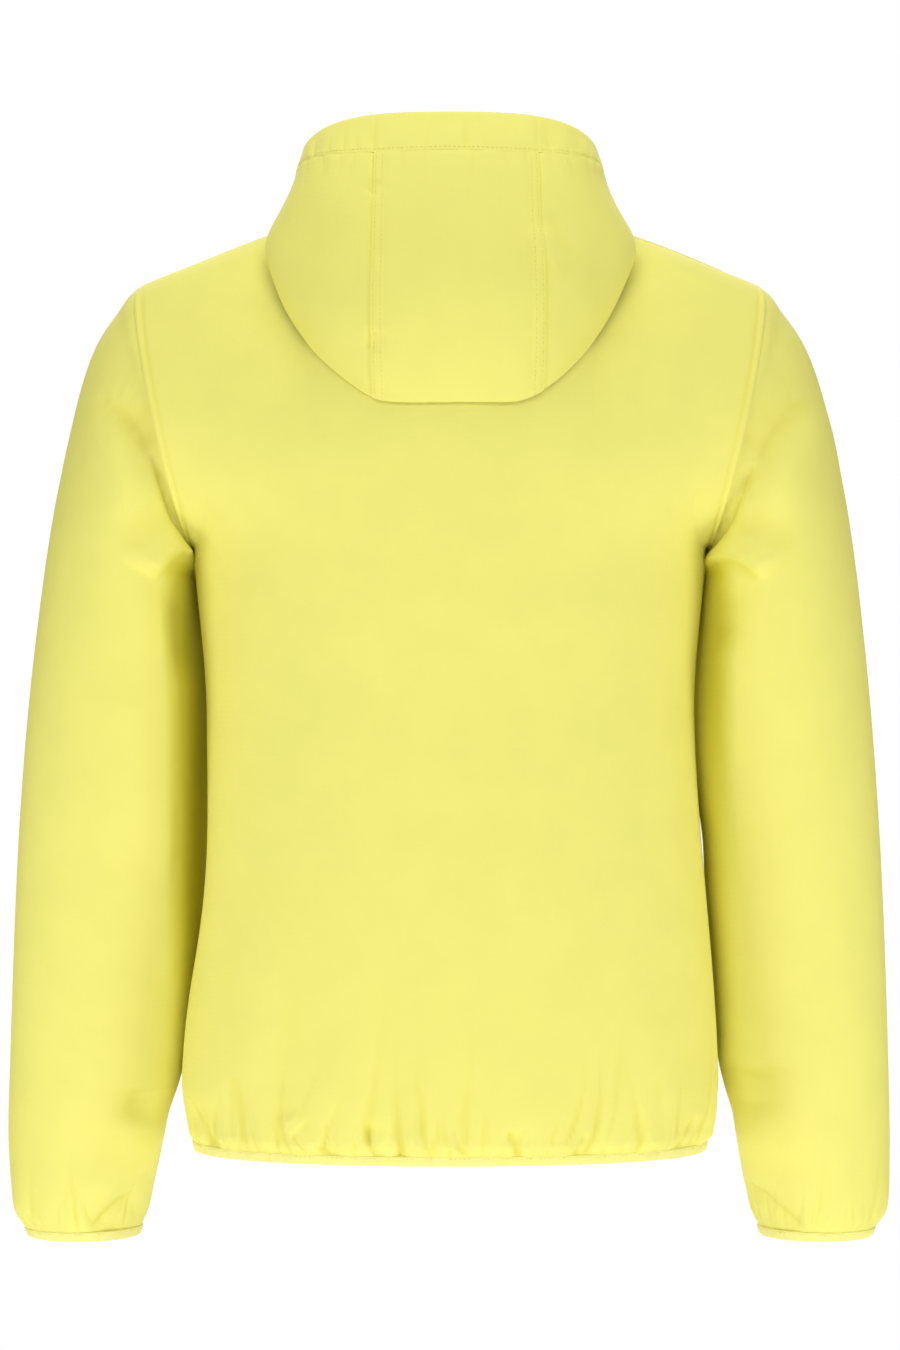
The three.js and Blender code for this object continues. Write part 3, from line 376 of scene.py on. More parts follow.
def back_at(x, z):
    """Where the back has this x and z, by Newton's steps."""
    u = np.asarray(x, float) / SHOULDER_HALF
    v = np.clip(1 + np.asarray(z, float) / -ARMPIT_Z / 2, 0.5, 0.98)
    step = 1e-4
    for _ in range(20):
        here = half_back(u, v)
        over_u = (half_back(u + step, v) - here) / step
        over_v = (here - half_back(u, v - step)) / step
        dx, dz = x - here[..., 0], z - here[..., 2]
        area = over_u[..., 0] * over_v[..., 2] - over_v[..., 0] * over_u[..., 2]
        u = np.clip(u + (dx * over_v[..., 2] - over_v[..., 0] * dz) / area, 0, 0.97)
        v = np.clip(v + (over_u[..., 0] * dz - dx * over_u[..., 2]) / area, 0.3, 0.985)
    return u, v


def normals(surface, u, v, inside):
    """Unit normals that point away from the points that inside(points) gives."""
    step = 1e-3
    across = surface(np.minimum(u + step, 1), v) - surface(np.maximum(u - step, 0), v)
    along = surface(u, np.minimum(v + step, 1)) - surface(u, np.maximum(v - step, 0))
    normal = unit(np.cross(across, along))
    out = surface(u, v)
    out = out - inside(out)
    return normal * np.where((normal * out).sum(-1, keepdims=True) < 0, -1, 1)


def body_inside(p):
    return p * np.array([0, 0, 1]) - column(0, 0, 0.2 * np.maximum(0, p[..., 2] + 150))


def hood_rim(angle):
    back = np.cos(angle)
    x = 109 * np.maximum(np.sin(angle), 0) ** 0.82
    return column(x, 15 + 47 * back, 90.5 - 27 * (1 - back) ** 1.3)


def shoulder_z(x):
    return lerp(NECK_SIDE_Z, SHOULDER_Z, (x - NECK_HALF) / (SHOULDER_HALF - NECK_HALF))


def hood_hang(back):
    """How far the fold hangs, from 0 at the sides to 1; it is nearly level between the seams."""
    level = back / 0.92
    return np.where(level < 1, np.minimum(level, 1) ** 1.3 * 0.98, 0.98) + 0.02 * back


def hood_fold(angle):
    back = np.maximum(np.cos(angle), 0)
    x = HOOD_HALF * np.sin(np.minimum(angle, math.pi / 2))
    z = lerp(-HOOD_SIDE_DROP, -HOOD_HANG, hood_hang(back))
    u, v = back_at(x, z)
    seat = half_back(u, v) + FOLD_PROUD * normals(half_back, u, v, body_inside)
    past = ease((angle - math.pi / 2) / (HOOD_END - math.pi / 2))[..., None]
    end = np.array([HOOD_END_X, hood_axis[1], shoulder_z(HOOD_END_X) + 6])
    return lerp(seat, end, past)


def smoothed_fold(angles):
    """The hood's fold, without the corner that it has where the neck seam lies under it."""
    line = hood_fold(angles)
    weight = hump(angles[:, None] - angles[None], 0.09)
    weight /= weight.sum(1, keepdims=True)
    free = ease((HOOD_END - angles) / 0.25) * ease(angles / 0.25)
    return lerp(line, weight @ line, free[:, None])


FOLD_ANGLES = np.linspace(0, HOOD_END, 181)
FOLD_LINE = smoothed_fold(FOLD_ANGLES)


def hood_face(angle, v):
    """The hood's outside: angle goes round it from the middle of the back, v from the rim to the fold."""
    angle, v = np.broadcast_arrays(np.asarray(angle, float), np.asarray(v, float))
    turn = np.abs(angle)
    swell = 4 * v * (1 - v)
    flare = np.sin(math.pi * v**2.6) * np.sin(turn) ** 2
    rear = np.cos(turn)
    rear = (rear + np.sqrt(rear**2 + 0.02)) / 2
    point = lerp(hood_rim(turn), resampled(turn, FOLD_ANGLES, FOLD_LINE), v[..., None])
    side = lerp(9, 5, ease((turn - math.pi / 2) / 0.38))
    point = point + column(flare * side, swell * 52 * rear, 0)
    return on_its_side(point, angle)


def hood_inside(p):
    return column(0, 20, -20 + 0 * p[..., 2])


CUFF_Z = low("cuff_binding_left")[2]


def smooth_line(points, samples=400):
    """A centripetal Catmull-Rom curve through points: a function of its share of length, and its length."""
    p = np.array(points, float)
    p = np.vstack([2 * p[0] - p[1], p, 2 * p[-1] - p[-2]])
    knots = np.concatenate([[0], np.cumsum(np.linalg.norm(np.diff(p, axis=0), axis=1) ** 0.5)])
    line = []
    for i in range(1, len(p) - 2):
        t0, t1, t2, t3 = knots[i - 1 : i + 3]
        t = np.linspace(t1, t2, samples // (len(p) - 3) + 2)[:-1, None]
        a1 = (t1 - t) / (t1 - t0) * p[i - 1] + (t - t0) / (t1 - t0) * p[i]
        a2 = (t2 - t) / (t2 - t1) * p[i] + (t - t1) / (t2 - t1) * p[i + 1]
        a3 = (t3 - t) / (t3 - t2) * p[i + 1] + (t - t2) / (t3 - t2) * p[i + 2]
        b1 = (t2 - t) / (t2 - t0) * a1 + (t - t0) / (t2 - t0) * a2
        b2 = (t3 - t) / (t3 - t1) * a2 + (t - t1) / (t3 - t1) * a3
        line.append((t2 - t) / (t2 - t1) * b1 + (t - t1) / (t2 - t1) * b2)
    line = np.vstack(line + [p[-2:-1]])
    run = distances(line)
    return lambda share: resampled(share, run / run[-1], line), run[-1]


sleeve_outer, OUTER_LENGTH = smooth_line(
    [
        shoulder,
        (262.5, 0, SHOULDER_Z - 45),
        (288.6, 0, SHOULDER_Z - 140),
        (307.5, 0, SHOULDER_Z - 265),
        (321, 0, -440),
        (328.2, 0, CUFF_Z + 130),
        (329, 0, CUFF_Z + 62),
        (325.5, 0, CUFF_Z + 24),
        (315, 0, CUFF_Z),
    ]
)
sleeve_inner, _ = smooth_line(
    [
        armpit,
        (armpit[0] + 6, 0, ARMPIT_Z - 36),
        (195, 0, -440),
        (197.1, 0, CUFF_Z + 190),
        (206.5, 0, CUFF_Z + 112),
        (218.2, 0, CUFF_Z + 52),
        (233, 0, CUFF_Z),
    ]
)
sleeve_depth = through([(0, arm_radius), (0.24, 80), (0.5, 65), (0.75, 57), (0.93, 49), (1, 37)])
SLEEVE_FORWARD = 26


def sleeve_middle(v):
    return (sleeve_outer(v) + sleeve_inner(v**1.6)) / 2 - column(0, SLEEVE_FORWARD * ease(v), 0)


def sleeve_face(u, v):
    """u goes once round the sleeve, from its outside by the back, and v from armhole to cuff."""
    u, v = np.broadcast_arrays(np.asarray(u, float), np.asarray(v, float))
    v = np.clip(v, 0, 1)
    angle = 2 * math.pi * u
    half = (sleeve_outer(v) - sleeve_inner(v**1.6)) / 2
    ring = half * np.cos(angle)[..., None] + column(0, sleeve_depth(v) * np.sin(angle), 0)
    return sleeve_middle(v) + ring + GAP * outward_axis


for name, face in (("back_panel", back_face), ("front_panel_left", front_face)):
    points = face(*np.meshgrid(np.linspace(0, 1, 41), np.linspace(0, 1, 41))).reshape(-1, 3)
    print(name, "pattern", points.min(0).round(1), points.max(0).round(1), "node", low(name), high(name))

# %% [markdown]
# ## Materials
# The shell is a knit bonded to a smooth woven face, lemon yellow and nearly matt. Its weave is very shallow,
# so from two metres it only softens the light. The bindings are the same yellow in a paler ribbed stretch
# tape, the inside is a brushed knit, and the zips are moulded and lacquered in the shell's colour.

# %% Material makers
def new_material(name, colour, roughness, uneven, patch, sheen=0.0, specular=0.3, coat=0.0):
    """A finish. Its colour is uneven by a small share, over patches of a size in metres."""
    material = bpy.data.materials.new(name)
    material.use_nodes = True
    shader = material.node_tree.nodes["Principled BSDF"]
    shader.inputs["Base Color"].default_value = (*colour, 1)
    shader.inputs["Roughness"].default_value = roughness
    shader.inputs["Sheen Weight"].default_value = sheen
    shader.inputs["Sheen Roughness"].default_value = 0.4
    shader.inputs["Specular IOR Level"].default_value = specular
    shader.inputs["Coat Weight"].default_value = coat
    mottle(material, shader, colour, uneven, patch)
    return material, shader


def node(tree, kind, **values):
    made = tree.nodes.new(kind)
    for key, value in values.items():
        if key in made.inputs:
            made.inputs[key].default_value = value
        else:
            setattr(made, key, value)
    return made


def coordinates(tree, socket):
    """Texture coordinates of the piece itself, in metres: Object, or UV laid along the cloth."""
    source = node(tree, "ShaderNodeTexCoord")
    mapping = node(tree, "ShaderNodeMapping")
    tree.links.new(source.outputs[socket], mapping.inputs["Vector"])
    return mapping.outputs["Vector"]


def mottle(material, shader, colour, amount, size):
    tree = material.node_tree
    noise = node(tree, "ShaderNodeTexNoise", Scale=1 / size, Detail=3.0)
    tree.links.new(coordinates(tree, "Object"), noise.inputs["Vector"])
    ramp = node(tree, "ShaderNodeValToRGB")
    ends = (1 - amount, 1 + amount)
    for element, end, place in zip(ramp.color_ramp.elements, ends, (0.35, 0.65)):
        element.position = place
        element.color = (*(min(c * end, 1) for c in colour), 1)
    tree.links.new(noise.outputs["Fac"], ramp.inputs["Fac"])
    tree.links.new(ramp.outputs["Color"], shader.inputs["Base Color"])


def bump(material, shader, height, depth, after=None):
    tree = material.node_tree
    made = node(tree, "ShaderNodeBump", Strength=1.0, Distance=depth)
    tree.links.new(height, made.inputs["Height"])
    if after:
        tree.links.new(after, made.inputs["Normal"])
    tree.links.new(made.outputs["Normal"], shader.inputs["Normal"])
    return made.outputs["Normal"]


def weave(material, shader, pitch, depth, grain_size=0.0, grain_depth=0.0):
    """Two crossed sets of threads along the cloth's own UV, with a softer grain over them. The threads are
    2 pi times the pitch apart."""
    tree = material.node_tree
    place = coordinates(tree, "UV")
    warp = node(tree, "ShaderNodeTexWave", bands_direction="X", Scale=1 / pitch / 20, Distortion=0.6)
    weft = node(tree, "ShaderNodeTexWave", bands_direction="Y", Scale=1 / pitch / 20, Distortion=0.6)
    both = node(tree, "ShaderNodeMath", operation="MULTIPLY")
    for wave, socket in ((warp, 0), (weft, 1)):
        tree.links.new(place, wave.inputs["Vector"])
        tree.links.new(wave.outputs["Fac"], both.inputs[socket])
    normal = bump(material, shader, both.outputs["Value"], depth)
    if grain_size:
        noise = node(tree, "ShaderNodeTexNoise", Scale=1 / grain_size, Detail=4.0)
        tree.links.new(place, noise.inputs["Vector"])
        bump(material, shader, noise.outputs["Fac"], grain_depth, normal)


def paint_crease_shade(material, shader, colour):
    """Painted shade: the cloth's creases, given by a mesh attribute, are mixed towards a deeper colour, which
    stands in for the light caught in them.
    """
    tree = material.node_tree
    source = node(tree, "ShaderNodeAttribute", attribute_name="painted_shade")
    blend = node(tree, "ShaderNodeMix", data_type="RGBA")
    plain = shader.inputs["Base Color"].links[0].from_socket
    tree.links.new(source.outputs["Fac"], blend.inputs[0])
    tree.links.new(plain, blend.inputs[6])
    blend.inputs[7].default_value = (*colour, 1)
    tree.links.new(blend.outputs[2], shader.inputs["Base Color"])


# %% The materials
YELLOW = (0.835, 0.79, 0.19)
# the deeper yellow of the painted shade in creases
PAINTED_SHADE_YELLOW = (0.68, 0.6, 0.02)
BINDING_YELLOW = (0.86, 0.81, 0.25)
TRIM_YELLOW = (0.78, 0.72, 0.16)

shell, shader = new_material("shell_softshell", YELLOW, 0.65, 0.012, 0.035, specular=0.1)
# the shell's creases get painted shade, a deeper yellow mixed in
paint_crease_shade(shell, shader, PAINTED_SHADE_YELLOW)
weave(shell, shader, 0.0006, 0.00004, 0.004, 0.00012)
lining, shader = new_material("brushed_lining", (0.8, 0.78, 0.55), 0.9, 0.03, 0.01, sheen=0.3, specular=0.1)
weave(lining, shader, 0.0012, 0.0001, 0.0015, 0.0004)
ribbed, shader = new_material("stretch_tape", BINDING_YELLOW, 0.7, 0.015, 0.01, sheen=0.1, specular=0.15)
weave(ribbed, shader, 0.0011, 0.00016)
woven, shader = new_material("woven_tape", (0.8, 0.74, 0.2), 0.75, 0.02, 0.004, specular=0.15)
weave(woven, shader, 0.0007, 0.0001)
thread, _ = new_material("thread", TRIM_YELLOW, 0.55, 0.05, 0.002, specular=0.25)
moulded, _ = new_material("moulded_teeth", TRIM_YELLOW, 0.38, 0.02, 0.003, specular=0.4)
lacquer, _ = new_material("lacquered_metal", (0.76, 0.7, 0.17), 0.3, 0.02, 0.004, specular=0.5, coat=0.4)
label_cloth, shader = new_material("label_satin", (0.86, 0.85, 0.8), 0.45, 0.02, 0.003)
weave(label_cloth, shader, 0.0005, 0.00005)
print("materials", len(bpy.data.materials))

# %% [markdown]
# ## Cloth
# A cloth is a grid that lies on a pattern surface. Its relief, in millimetres along the surface's normal,
# gives the gathers, folds and seams, and a Solidify modifier gives its thickness and its brushed inside.

# %% Cloth maker
class Cloth:
    """A laid-out grid, kept so that stitches can be sewn along it."""

    def __init__(self, u, v, points, normals):
        self.u, self.v, self.points, self.normals = u, v, points, normals

    def at(self, u, v):
        """Points and normals of the finished cloth at pattern places u, v."""
        i = np.interp(v, self.v, np.arange(len(self.v)))
        j = np.interp(u, self.u, np.arange(len(self.u)))
        i0 = np.minimum(i.astype(int), len(self.v) - 2)
        j0 = np.minimum(j.astype(int), len(self.u) - 2)
        fi, fj = (i - i0)[..., None], (j - j0)[..., None]
        found = []
        for grid in (self.points, self.normals):
            low_row = lerp(grid[i0, j0], grid[i0, j0 + 1], fj)
            high_row = lerp(grid[i0 + 1, j0], grid[i0 + 1, j0 + 1], fj)
            found.append(lerp(low_row, high_row, fi))
        return found


def grid_normals(points, inside, wrap):
    padded = np.pad(points, ((0, 0), (1, 1), (0, 0)), mode="edge")
    if wrap:
        padded[:, 0], padded[:, -1] = points[:, -2], points[:, 1]
    across = padded[:, 2:] - padded[:, :-2]
    along = np.gradient(points, axis=0)
    normal = unit(np.cross(across, along))
    outwards = np.sign(np.median((normal * (points - inside(points))).sum(-1)))
    return normal * outwards, outwards


def cloth_size(points):
    """Width, length and area of the cloth before it is gathered or folded, in metres."""
    across = np.linalg.norm(np.diff(points, axis=1), axis=-1)
    along = np.linalg.norm(np.diff(points, axis=0), axis=-1)
    edges = np.cross(points[1:, 1:] - points[:-1, :-1], points[1:, :-1] - points[:-1, 1:])
    area = np.linalg.norm(edges, axis=-1).sum() / 2
    return across.sum(1).max() * MM, along.sum(0).max() * MM, area * MM * MM


def blurred(values, reach, axis, wrap=False):
    """A running mean over a number of grid steps each way."""
    total = np.zeros_like(values)
    edge = [(0, 0), (0, 0)]
    edge[axis] = (reach, reach)
    padded = np.pad(values, edge, mode="wrap" if wrap else "edge")
    for step in range(2 * reach + 1):
        total += np.take(padded, range(step, step + values.shape[axis]), axis)
    return total / (2 * reach + 1)


def crease_shade_of(moved, wrap):
    """The share of painted shade at each place, from how far it lies below its surroundings in millimetres:
    creases are positive.
    """
    narrow = blurred(blurred(moved, 3, 1, wrap), 1, 0) - moved
    wide = blurred(blurred(moved, 10, 1, wrap), 5, 0) - moved
    return 0.46 * np.tanh(np.maximum(0.8 * narrow + 0.08 * wide, -0.1))


def grid_mesh(name, points, uv):
    """A mesh from a grid of points in millimetres; the grid is made flat and then laid out."""
    rows, columns = points.shape[0] - 1, points.shape[1] - 1
    bm = bmesh.new()
    bmesh.ops.create_grid(bm, x_segments=columns, y_segments=rows, size=1, calc_uvs=False)
    mesh = bpy.data.meshes.new(name)
    bm.to_mesh(mesh)
    bm.free()
    mesh.vertices.foreach_set("co", (points * MM).reshape(-1).astype(np.float32))
    layer = mesh.uv_layers.new(name="UVMap")
    index = np.zeros(len(mesh.loops), np.int32)
    mesh.loops.foreach_get("vertex_index", index)
    layer.data.foreach_set("uv", (uv.reshape(-1, 2)[index] * MM).reshape(-1).astype(np.float32))
    return mesh


def cloth_mesh(name, points, uv, flip, wrap, painted_shade):
    mesh = grid_mesh(name, points, uv)
    # the share of painted shade at each vertex, which the shell's colour is mixed by
    depth = mesh.attributes.new("painted_shade", "FLOAT", "POINT")
    depth.data.foreach_set("value", painted_shade.reshape(-1).astype(np.float32))
    bm = bmesh.new()
    bm.from_mesh(mesh)
    if wrap:
        bmesh.ops.remove_doubles(bm, verts=[v for v in bm.verts if v.is_boundary], dist=1e-7)
    if flip:
        bmesh.ops.reverse_faces(bm, faces=bm.faces)
    for edge in bm.edges:
        if edge.is_boundary:
            edge.smooth = False  # a cut edge stays crisp when the cloth gets its thickness
    bm.to_mesh(mesh)
    bm.free()
    mesh.shade_smooth()
    return mesh


def new_object(name, mesh, materials, ride_on, stands_for):
    piece = bpy.data.objects.new(name, mesh)
    bpy.context.collection.objects.link(piece)
    for material in materials:
        mesh.materials.append(material)
    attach(piece, ride_on)
    if stands_for:
        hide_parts(stands_for)
    return piece


def soften(points, v, level, span, keep):
    """Rounds off the crease that a pattern has along one row, v = level, over a span in millimetres."""
    z = points[:, points.shape[1] // 2, 2]
    weight = hump(z[:, None] - z[None], span) * np.abs(np.gradient(z))
    soft = (weight / weight.sum(1, keepdims=True)) @ points.reshape(len(v), -1)
    near = np.abs(z - np.interp(level, v, z)) / (3 * span)
    share = ease((1 - near) * 2)[:, None, None] * keep[..., None]
    return lerp(points, soft.reshape(points.shape), share)


def solidify(piece, thickness=CLOTH):
    layer = piece.modifiers.new("cloth_thickness", "SOLIDIFY")
    layer.thickness = thickness * MM
    layer.offset = -1
    layer.use_even_offset = False
    layer.use_rim = True
    layer.material_offset = len(piece.data.materials) - 1


def make_cloth(
    name, surface, u, v, inside, ride_on, relief, wrap=False, thickness=CLOTH, stands_for=None,
    cloth=(shell, lining), soft=None, recess_shade=None,
):
    """Lays a cloth on surface(u, v) at the stops u and v, and returns its object, size and grid.
    soft rounds the pattern off, and the next argument gives painted shade for a place that little light
    reaches."""
    uu, vv = np.meshgrid(u, v)
    points = surface(uu, vv)
    if soft:
        points = soft(points, uu, v)
    normal, outwards = grid_normals(points, inside, wrap)
    size = cloth_size(points)
    widths = np.linalg.norm(np.diff(points, axis=1), axis=-1)[len(v) // 2]
    lengths = np.linalg.norm(np.diff(points, axis=0), axis=-1)[:, len(u) // 2]
    uv = np.stack(np.meshgrid(np.append(0, widths.cumsum()), np.append(0, lengths.cumsum())), -1)
    moved = relief(uu, vv, points, normal)
    moved = normal * moved[..., None] if moved.ndim == 2 else moved
    # painted shade in the creases of the relief
    painted_shade = crease_shade_of((moved * normal).sum(-1), wrap)
    points = points + moved
    # painted shade in recesses is added to the painted shade of the creases
    if recess_shade:
        painted_shade = painted_shade + recess_shade(uu, points)
    normal, _ = grid_normals(points, inside, wrap)
    mesh = cloth_mesh(name, points, uv, outwards < 0, wrap, painted_shade)
    piece = new_object(name, mesh, cloth, ride_on, stands_for or name.removesuffix("_cloth"))
    solidify(piece, thickness)
    return piece, size, Cloth(u, v, points, normal)


def stops(*parts):
    """Stops from 0 to 1: parts are (up to, number of steps)."""
    made, at = [0.0], 0.0
    for end, steps in parts:
        made += list(np.linspace(at, end, steps + 1)[1:])
        at = end
    return np.array(made)


# %% [markdown]
# ### Gathers, folds and seams
# Elastic pulls a cloth into short pinched creases with small puffs between them. They fade away from the
# elastic, and some run on as long soft folds. A fold is a ridge or a valley along a line. A seam is a
# narrow groove, and its turned allowance lifts the cloth beside it.

# %% Relief makers
def gathers(s, h, seed, pitch, height, reach, lean=0.35, loop=None):
    """Puffs between pinched creases: s runs along the gathered edge, h away from it, all in millimetres."""
    rng = np.random.default_rng(seed)
    first = 0 if loop else s.min() - 80
    length = loop or s.max() - s.min() + 160
    count = int(length / (sum(pitch) / 2))
    widths = rng.uniform(*pitch, count)
    cuts = first + np.append(0, np.cumsum(widths)) * length / widths.sum()
    puff, fade, tilt = (rng.uniform(*r, count) for r in (height, reach, (-lean, lean)))
    middle = (cuts[1:] + cuts[:-1]) / 2
    at = s + h * np.interp(s, middle, tilt, period=length)
    if loop:
        at = at % loop
    i = np.clip(np.searchsorted(cuts, at, side="right") - 1, 0, count - 1)
    t = np.clip((at - cuts[i]) / (cuts[i + 1] - cuts[i]), 0, 1)
    return puff[i] * np.sin(math.pi * t) ** 0.6 * hump(h, fade[i])


def drift(seed, span, *at):
    """Broad soft unevenness, about -1 to 1, over distances near span."""
    rng = np.random.default_rng(seed)
    total = 0
    for _ in range(7):
        way = rng.normal(size=len(at))
        way *= 2 * math.pi / span / np.linalg.norm(way) * rng.uniform(0.6, 1.3)
        total = total + np.sin(sum(w * a for w, a in zip(way, at)) + rng.uniform(0, 6.3))
    return total / 3.5


def fold(x, z, line, height, before, after, fade=0.3, sharp=False):
    """A ridge, or a valley if height is negative, along a line of (x, z) places.
    before and after are its widths on the two sides of the line, left and right of the way it runs."""
    line = smooth_line(line, 48)[0](np.linspace(0, 1, 11 if len(line) > 2 else 2))
    steps = np.diff(line, axis=0)
    length = np.linalg.norm(steps, axis=1)
    total = length.sum()
    nearest = np.full(np.shape(x), 1e9)
    side = np.zeros(np.shape(x))
    share = np.zeros(np.shape(x))
    done = 0
    for start, step, span in zip(line, steps, length):
        dx, dz = x - start[0], z - start[1]
        t = np.clip((dx * step[0] + dz * step[1]) / span**2, 0, 1)
        gap = np.hypot(dx - t * step[0], dz - t * step[1])
        closer = gap < nearest
        nearest = np.where(closer, gap, nearest)
        side = np.where(closer, step[0] * dz - step[1] * dx, side)
        share = np.where(closer, (done + t * span) / total, share)
        done += span
    width = np.where(side > 0, before, after)
    ends = ease(share / fade) * ease((1 - share) / fade) if fade else 1
    return height * np.exp(-((nearest / width) ** (1.1 if sharp else 2))) * ends


def folds(*made):
    """The relief of several folds: each is its line, height, before, after, and perhaps fade and sharp."""
    return lambda x, z: sum(fold(x, z, *one) for one in made)


def dip(distance, width, depth):
    return -depth * hump(distance, width)


# %% [markdown]
# ### Back and fronts
# The back is one piece with no yoke. Its bottom edge is gathered into the stretch binding, and its edge at
# each armhole lies over the sleeve. Each front is a mirror of the other in its pattern, and has a slot for
# its pocket zip.

# %% Back panel
WAIST = 9  # how far the left side is drawn in above the hem
FLANGE = 3.4  # how far the edge at the armhole bows out over the sleeve


def waist(x, z):
    return WAIST * hump(z + 470, 80) * (x > 0)


def armhole_flange(across, v):
    edge = ease((across - 0.86) / 0.14) * ease((2 * v - 1.0) / 0.06)
    return FLANGE * edge * np.sin(math.pi * np.clip(2 * v - 1, 0, 1)) ** 0.8


def hem_relief(s, h, seed):
    fine = gathers(s, h, seed, (7, 16), (1.6, 4.6), (9, 24), lean=0.7)
    medium = gathers(s, h, seed + 1, (18, 44), (1.0, 6.0), (16, 44), lean=0.6)
    broad = gathers(s, h, seed + 2, (60, 120), (0.5, 4.0), (40, 80), lean=0.2)
    return (fine + medium + broad) * ease((h + 1) / 13) + dip(h, 3, 0.4)


def body_relief(seed, side, features):
    def relief(u, v, points, normal):
        x, z = points[..., 0], points[..., 2]
        across = np.abs(2 * u - 1) if side > 0 else u
        h = z - PANEL_BOTTOM
        calm = 1 - 0.8 * ease((across - 0.86) / 0.12)
        along = distances(points[0])
        moved = hem_relief(along - along[len(along) // 2] + 0 * x, h, seed) * calm
        moved -= waist(x, z) * ease((across - 0.7) / 0.3)
        moved += 1.3 * drift(seed + 5, 210, x, z * 0.5) * ease(h / 60) * ease((1 - across) / 0.15)
        seam = (1 - across) * SHOULDER_HALF
        above = ease((2 * v - 1.02) / 0.05) * ease((0.97 - np.clip(2 * v - 1, 0, 1)) / 0.2)
        moved += above * (1.1 * hump(seam - 1.6, 1.3) + dip(seam - 5, 1.8, 0.45))
        moved += dip(seam, 2.2, 1.2) * (1 - above)
        moved += features(x, z) * ease((h + 1) / 7)
        bow = armhole_flange(across, v)
        out = np.where(x < 0, -1, 1)
        return normal * moved[..., None] + column(out * bow * outward_axis[0], 0, bow * outward_axis[2])

    return relief


# the longer creases that run up from the hem, and the fall of the cloth at the sides
back_features = folds(
    ([(190, -626), (180, -650), (163, -672)], -5, 4, 10, 0.35, True),
    ([(157, -596), (155, -660)], -3.5, 7, 14, 0.45),
    ([(118, -632), (106, -646)], 3, 9, 9, 0.4),
    ([(94, -654), (78, -672)], -5, 3, 9, 0.35, True),
    ([(61, -634), (58, -650), (50, -672)], -5, 3, 10, 0.35, True),
    ([(31, -648), (40, -673)], -4, 3, 9, 0.35, True),
    ([(-40, -640), (-52, -672)], -4, 3, 9, 0.35, True),
    ([(-96, -642), (-86, -672)], -4.5, 3, 9, 0.35, True),
    ([(-150, -650), (-146, -600)], -2.5, 9, 14, 0.45),
    ([(-178, -636), (-160, -672)], -5, 3, 10, 0.35, True),
    ([(150, -640), (140, -560), (146, -470)], 3.0, 20, 16),
    ([(-150, -650), (-160, -560)], 2.4, 14, 22),
)


def soft_armpit(side):
    """The panel is cut in one piece, so no crease crosses it between the armpits."""
    def soft(points, u, v):
        across = np.abs(2 * u - 1) if side > 0 else u
        return soften(points, v, 0.5, 26, ease((0.97 - across) / 0.12))

    return soft


BODY_STOPS_V = stops((0.012, 6), (0.06, 22), (0.14, 18), (0.5, 36), (1.0, 58))
half_u = stops((0.85, 104), (1, 28))
back_u = (np.concatenate([-half_u[:0:-1], half_u]) + 1) / 2
back, back_size, _ = make_cloth(
    "back_panel_cloth", back_face, back_u, BODY_STOPS_V, body_inside, "jacket",
    body_relief(11, 1, back_features), soft=soft_armpit(1),
)
print("back panel", [round(x, 3) for x in back_size], "m")


# %% Front panels, with their pocket slots
slide = joints["left_pocket_zip_slide"]
swing_tab = joints["left_pocket_pull_swing"]
POCKET_LENGTH = 150
POCKET_REST = 143.4  # where the slider's middle lies along the zip
TAB_DEPTH = -1.34  # where the tab's bar lies, from the face of the cloth inwards
SLOT_HALF = 6
SLOT_MARGIN = 4
pocket_up = Vector(slide["axis"]) * -1
pocket_across = Vector(swing_tab["axis"]) * -1
pocket_in = pocket_up.cross(pocket_across)
pocket_origin = Vector(swing_tab["pos_m"]) - pocket_in * TAB_DEPTH * MM - pocket_up * POCKET_REST * MM
pocket_frame = Matrix.Translation(pocket_origin) @ Matrix(
    [pocket_across, pocket_in, pocket_up]
).transposed().to_4x4()


def in_pocket(points, side):
    """Places in the pocket's own frame: across, inwards and along it, in millimetres."""
    local = (points * np.array([side, 1, 1]) - np.array(pocket_origin) / MM) @ np.array(
        [pocket_across, pocket_in, pocket_up]
    ).T
    return local[..., 0], local[..., 1], local[..., 2]


def without(piece, gone):
    """Takes away the faces whose middles gone(points) picks, and returns how many they are."""
    bm = bmesh.new()
    bm.from_mesh(piece.data)
    centres = np.array([face.calc_center_median() for face in bm.faces]) / MM
    bm.faces.ensure_lookup_table()
    picked = [bm.faces[i] for i in np.flatnonzero(gone(centres))]
    bmesh.ops.delete(bm, geom=picked, context="FACES")
    bm.to_mesh(piece.data)
    bm.free()
    piece.data.shade_smooth()
    return len(picked)


def along_zip(side, half, margin, depth=1000):
    """Picks the places in a strip along a pocket's zip that runs a margin past both its ends."""
    def inside(points):
        x, y, z = in_pocket(points, side)
        return (np.abs(x) < half) & (np.abs(y) < depth) & (z > -margin) & (z < POCKET_LENGTH + margin)

    return inside


def cut_slot(piece, side):
    """Splits the cloth along the slot's four edges and takes out what lies between them."""
    bm = bmesh.new()
    bm.from_mesh(piece.data)
    mirror = Vector((side, 1, 1))
    middle = pocket_origin + pocket_up * 0.5 * POCKET_LENGTH * MM
    for way, reach in (
        (pocket_across, SLOT_HALF), (pocket_across, -SLOT_HALF),
        (pocket_up, POCKET_LENGTH + SLOT_MARGIN), (pocket_up, -SLOT_MARGIN),
    ):
        faces = [f for f in bm.faces if (f.calc_center_median() * mirror - middle).length < 0.11]
        around = list({e for f in faces for e in f.edges} | {v for f in faces for v in f.verts}) + faces
        bmesh.ops.bisect_plane(
            bm, geom=around, plane_co=(pocket_origin + way * reach * MM) * mirror,
            plane_no=way * mirror, dist=1e-6,
        )
    bm.to_mesh(piece.data)
    bm.free()
    return without(piece, along_zip(side, SLOT_HALF, SLOT_MARGIN, 12))


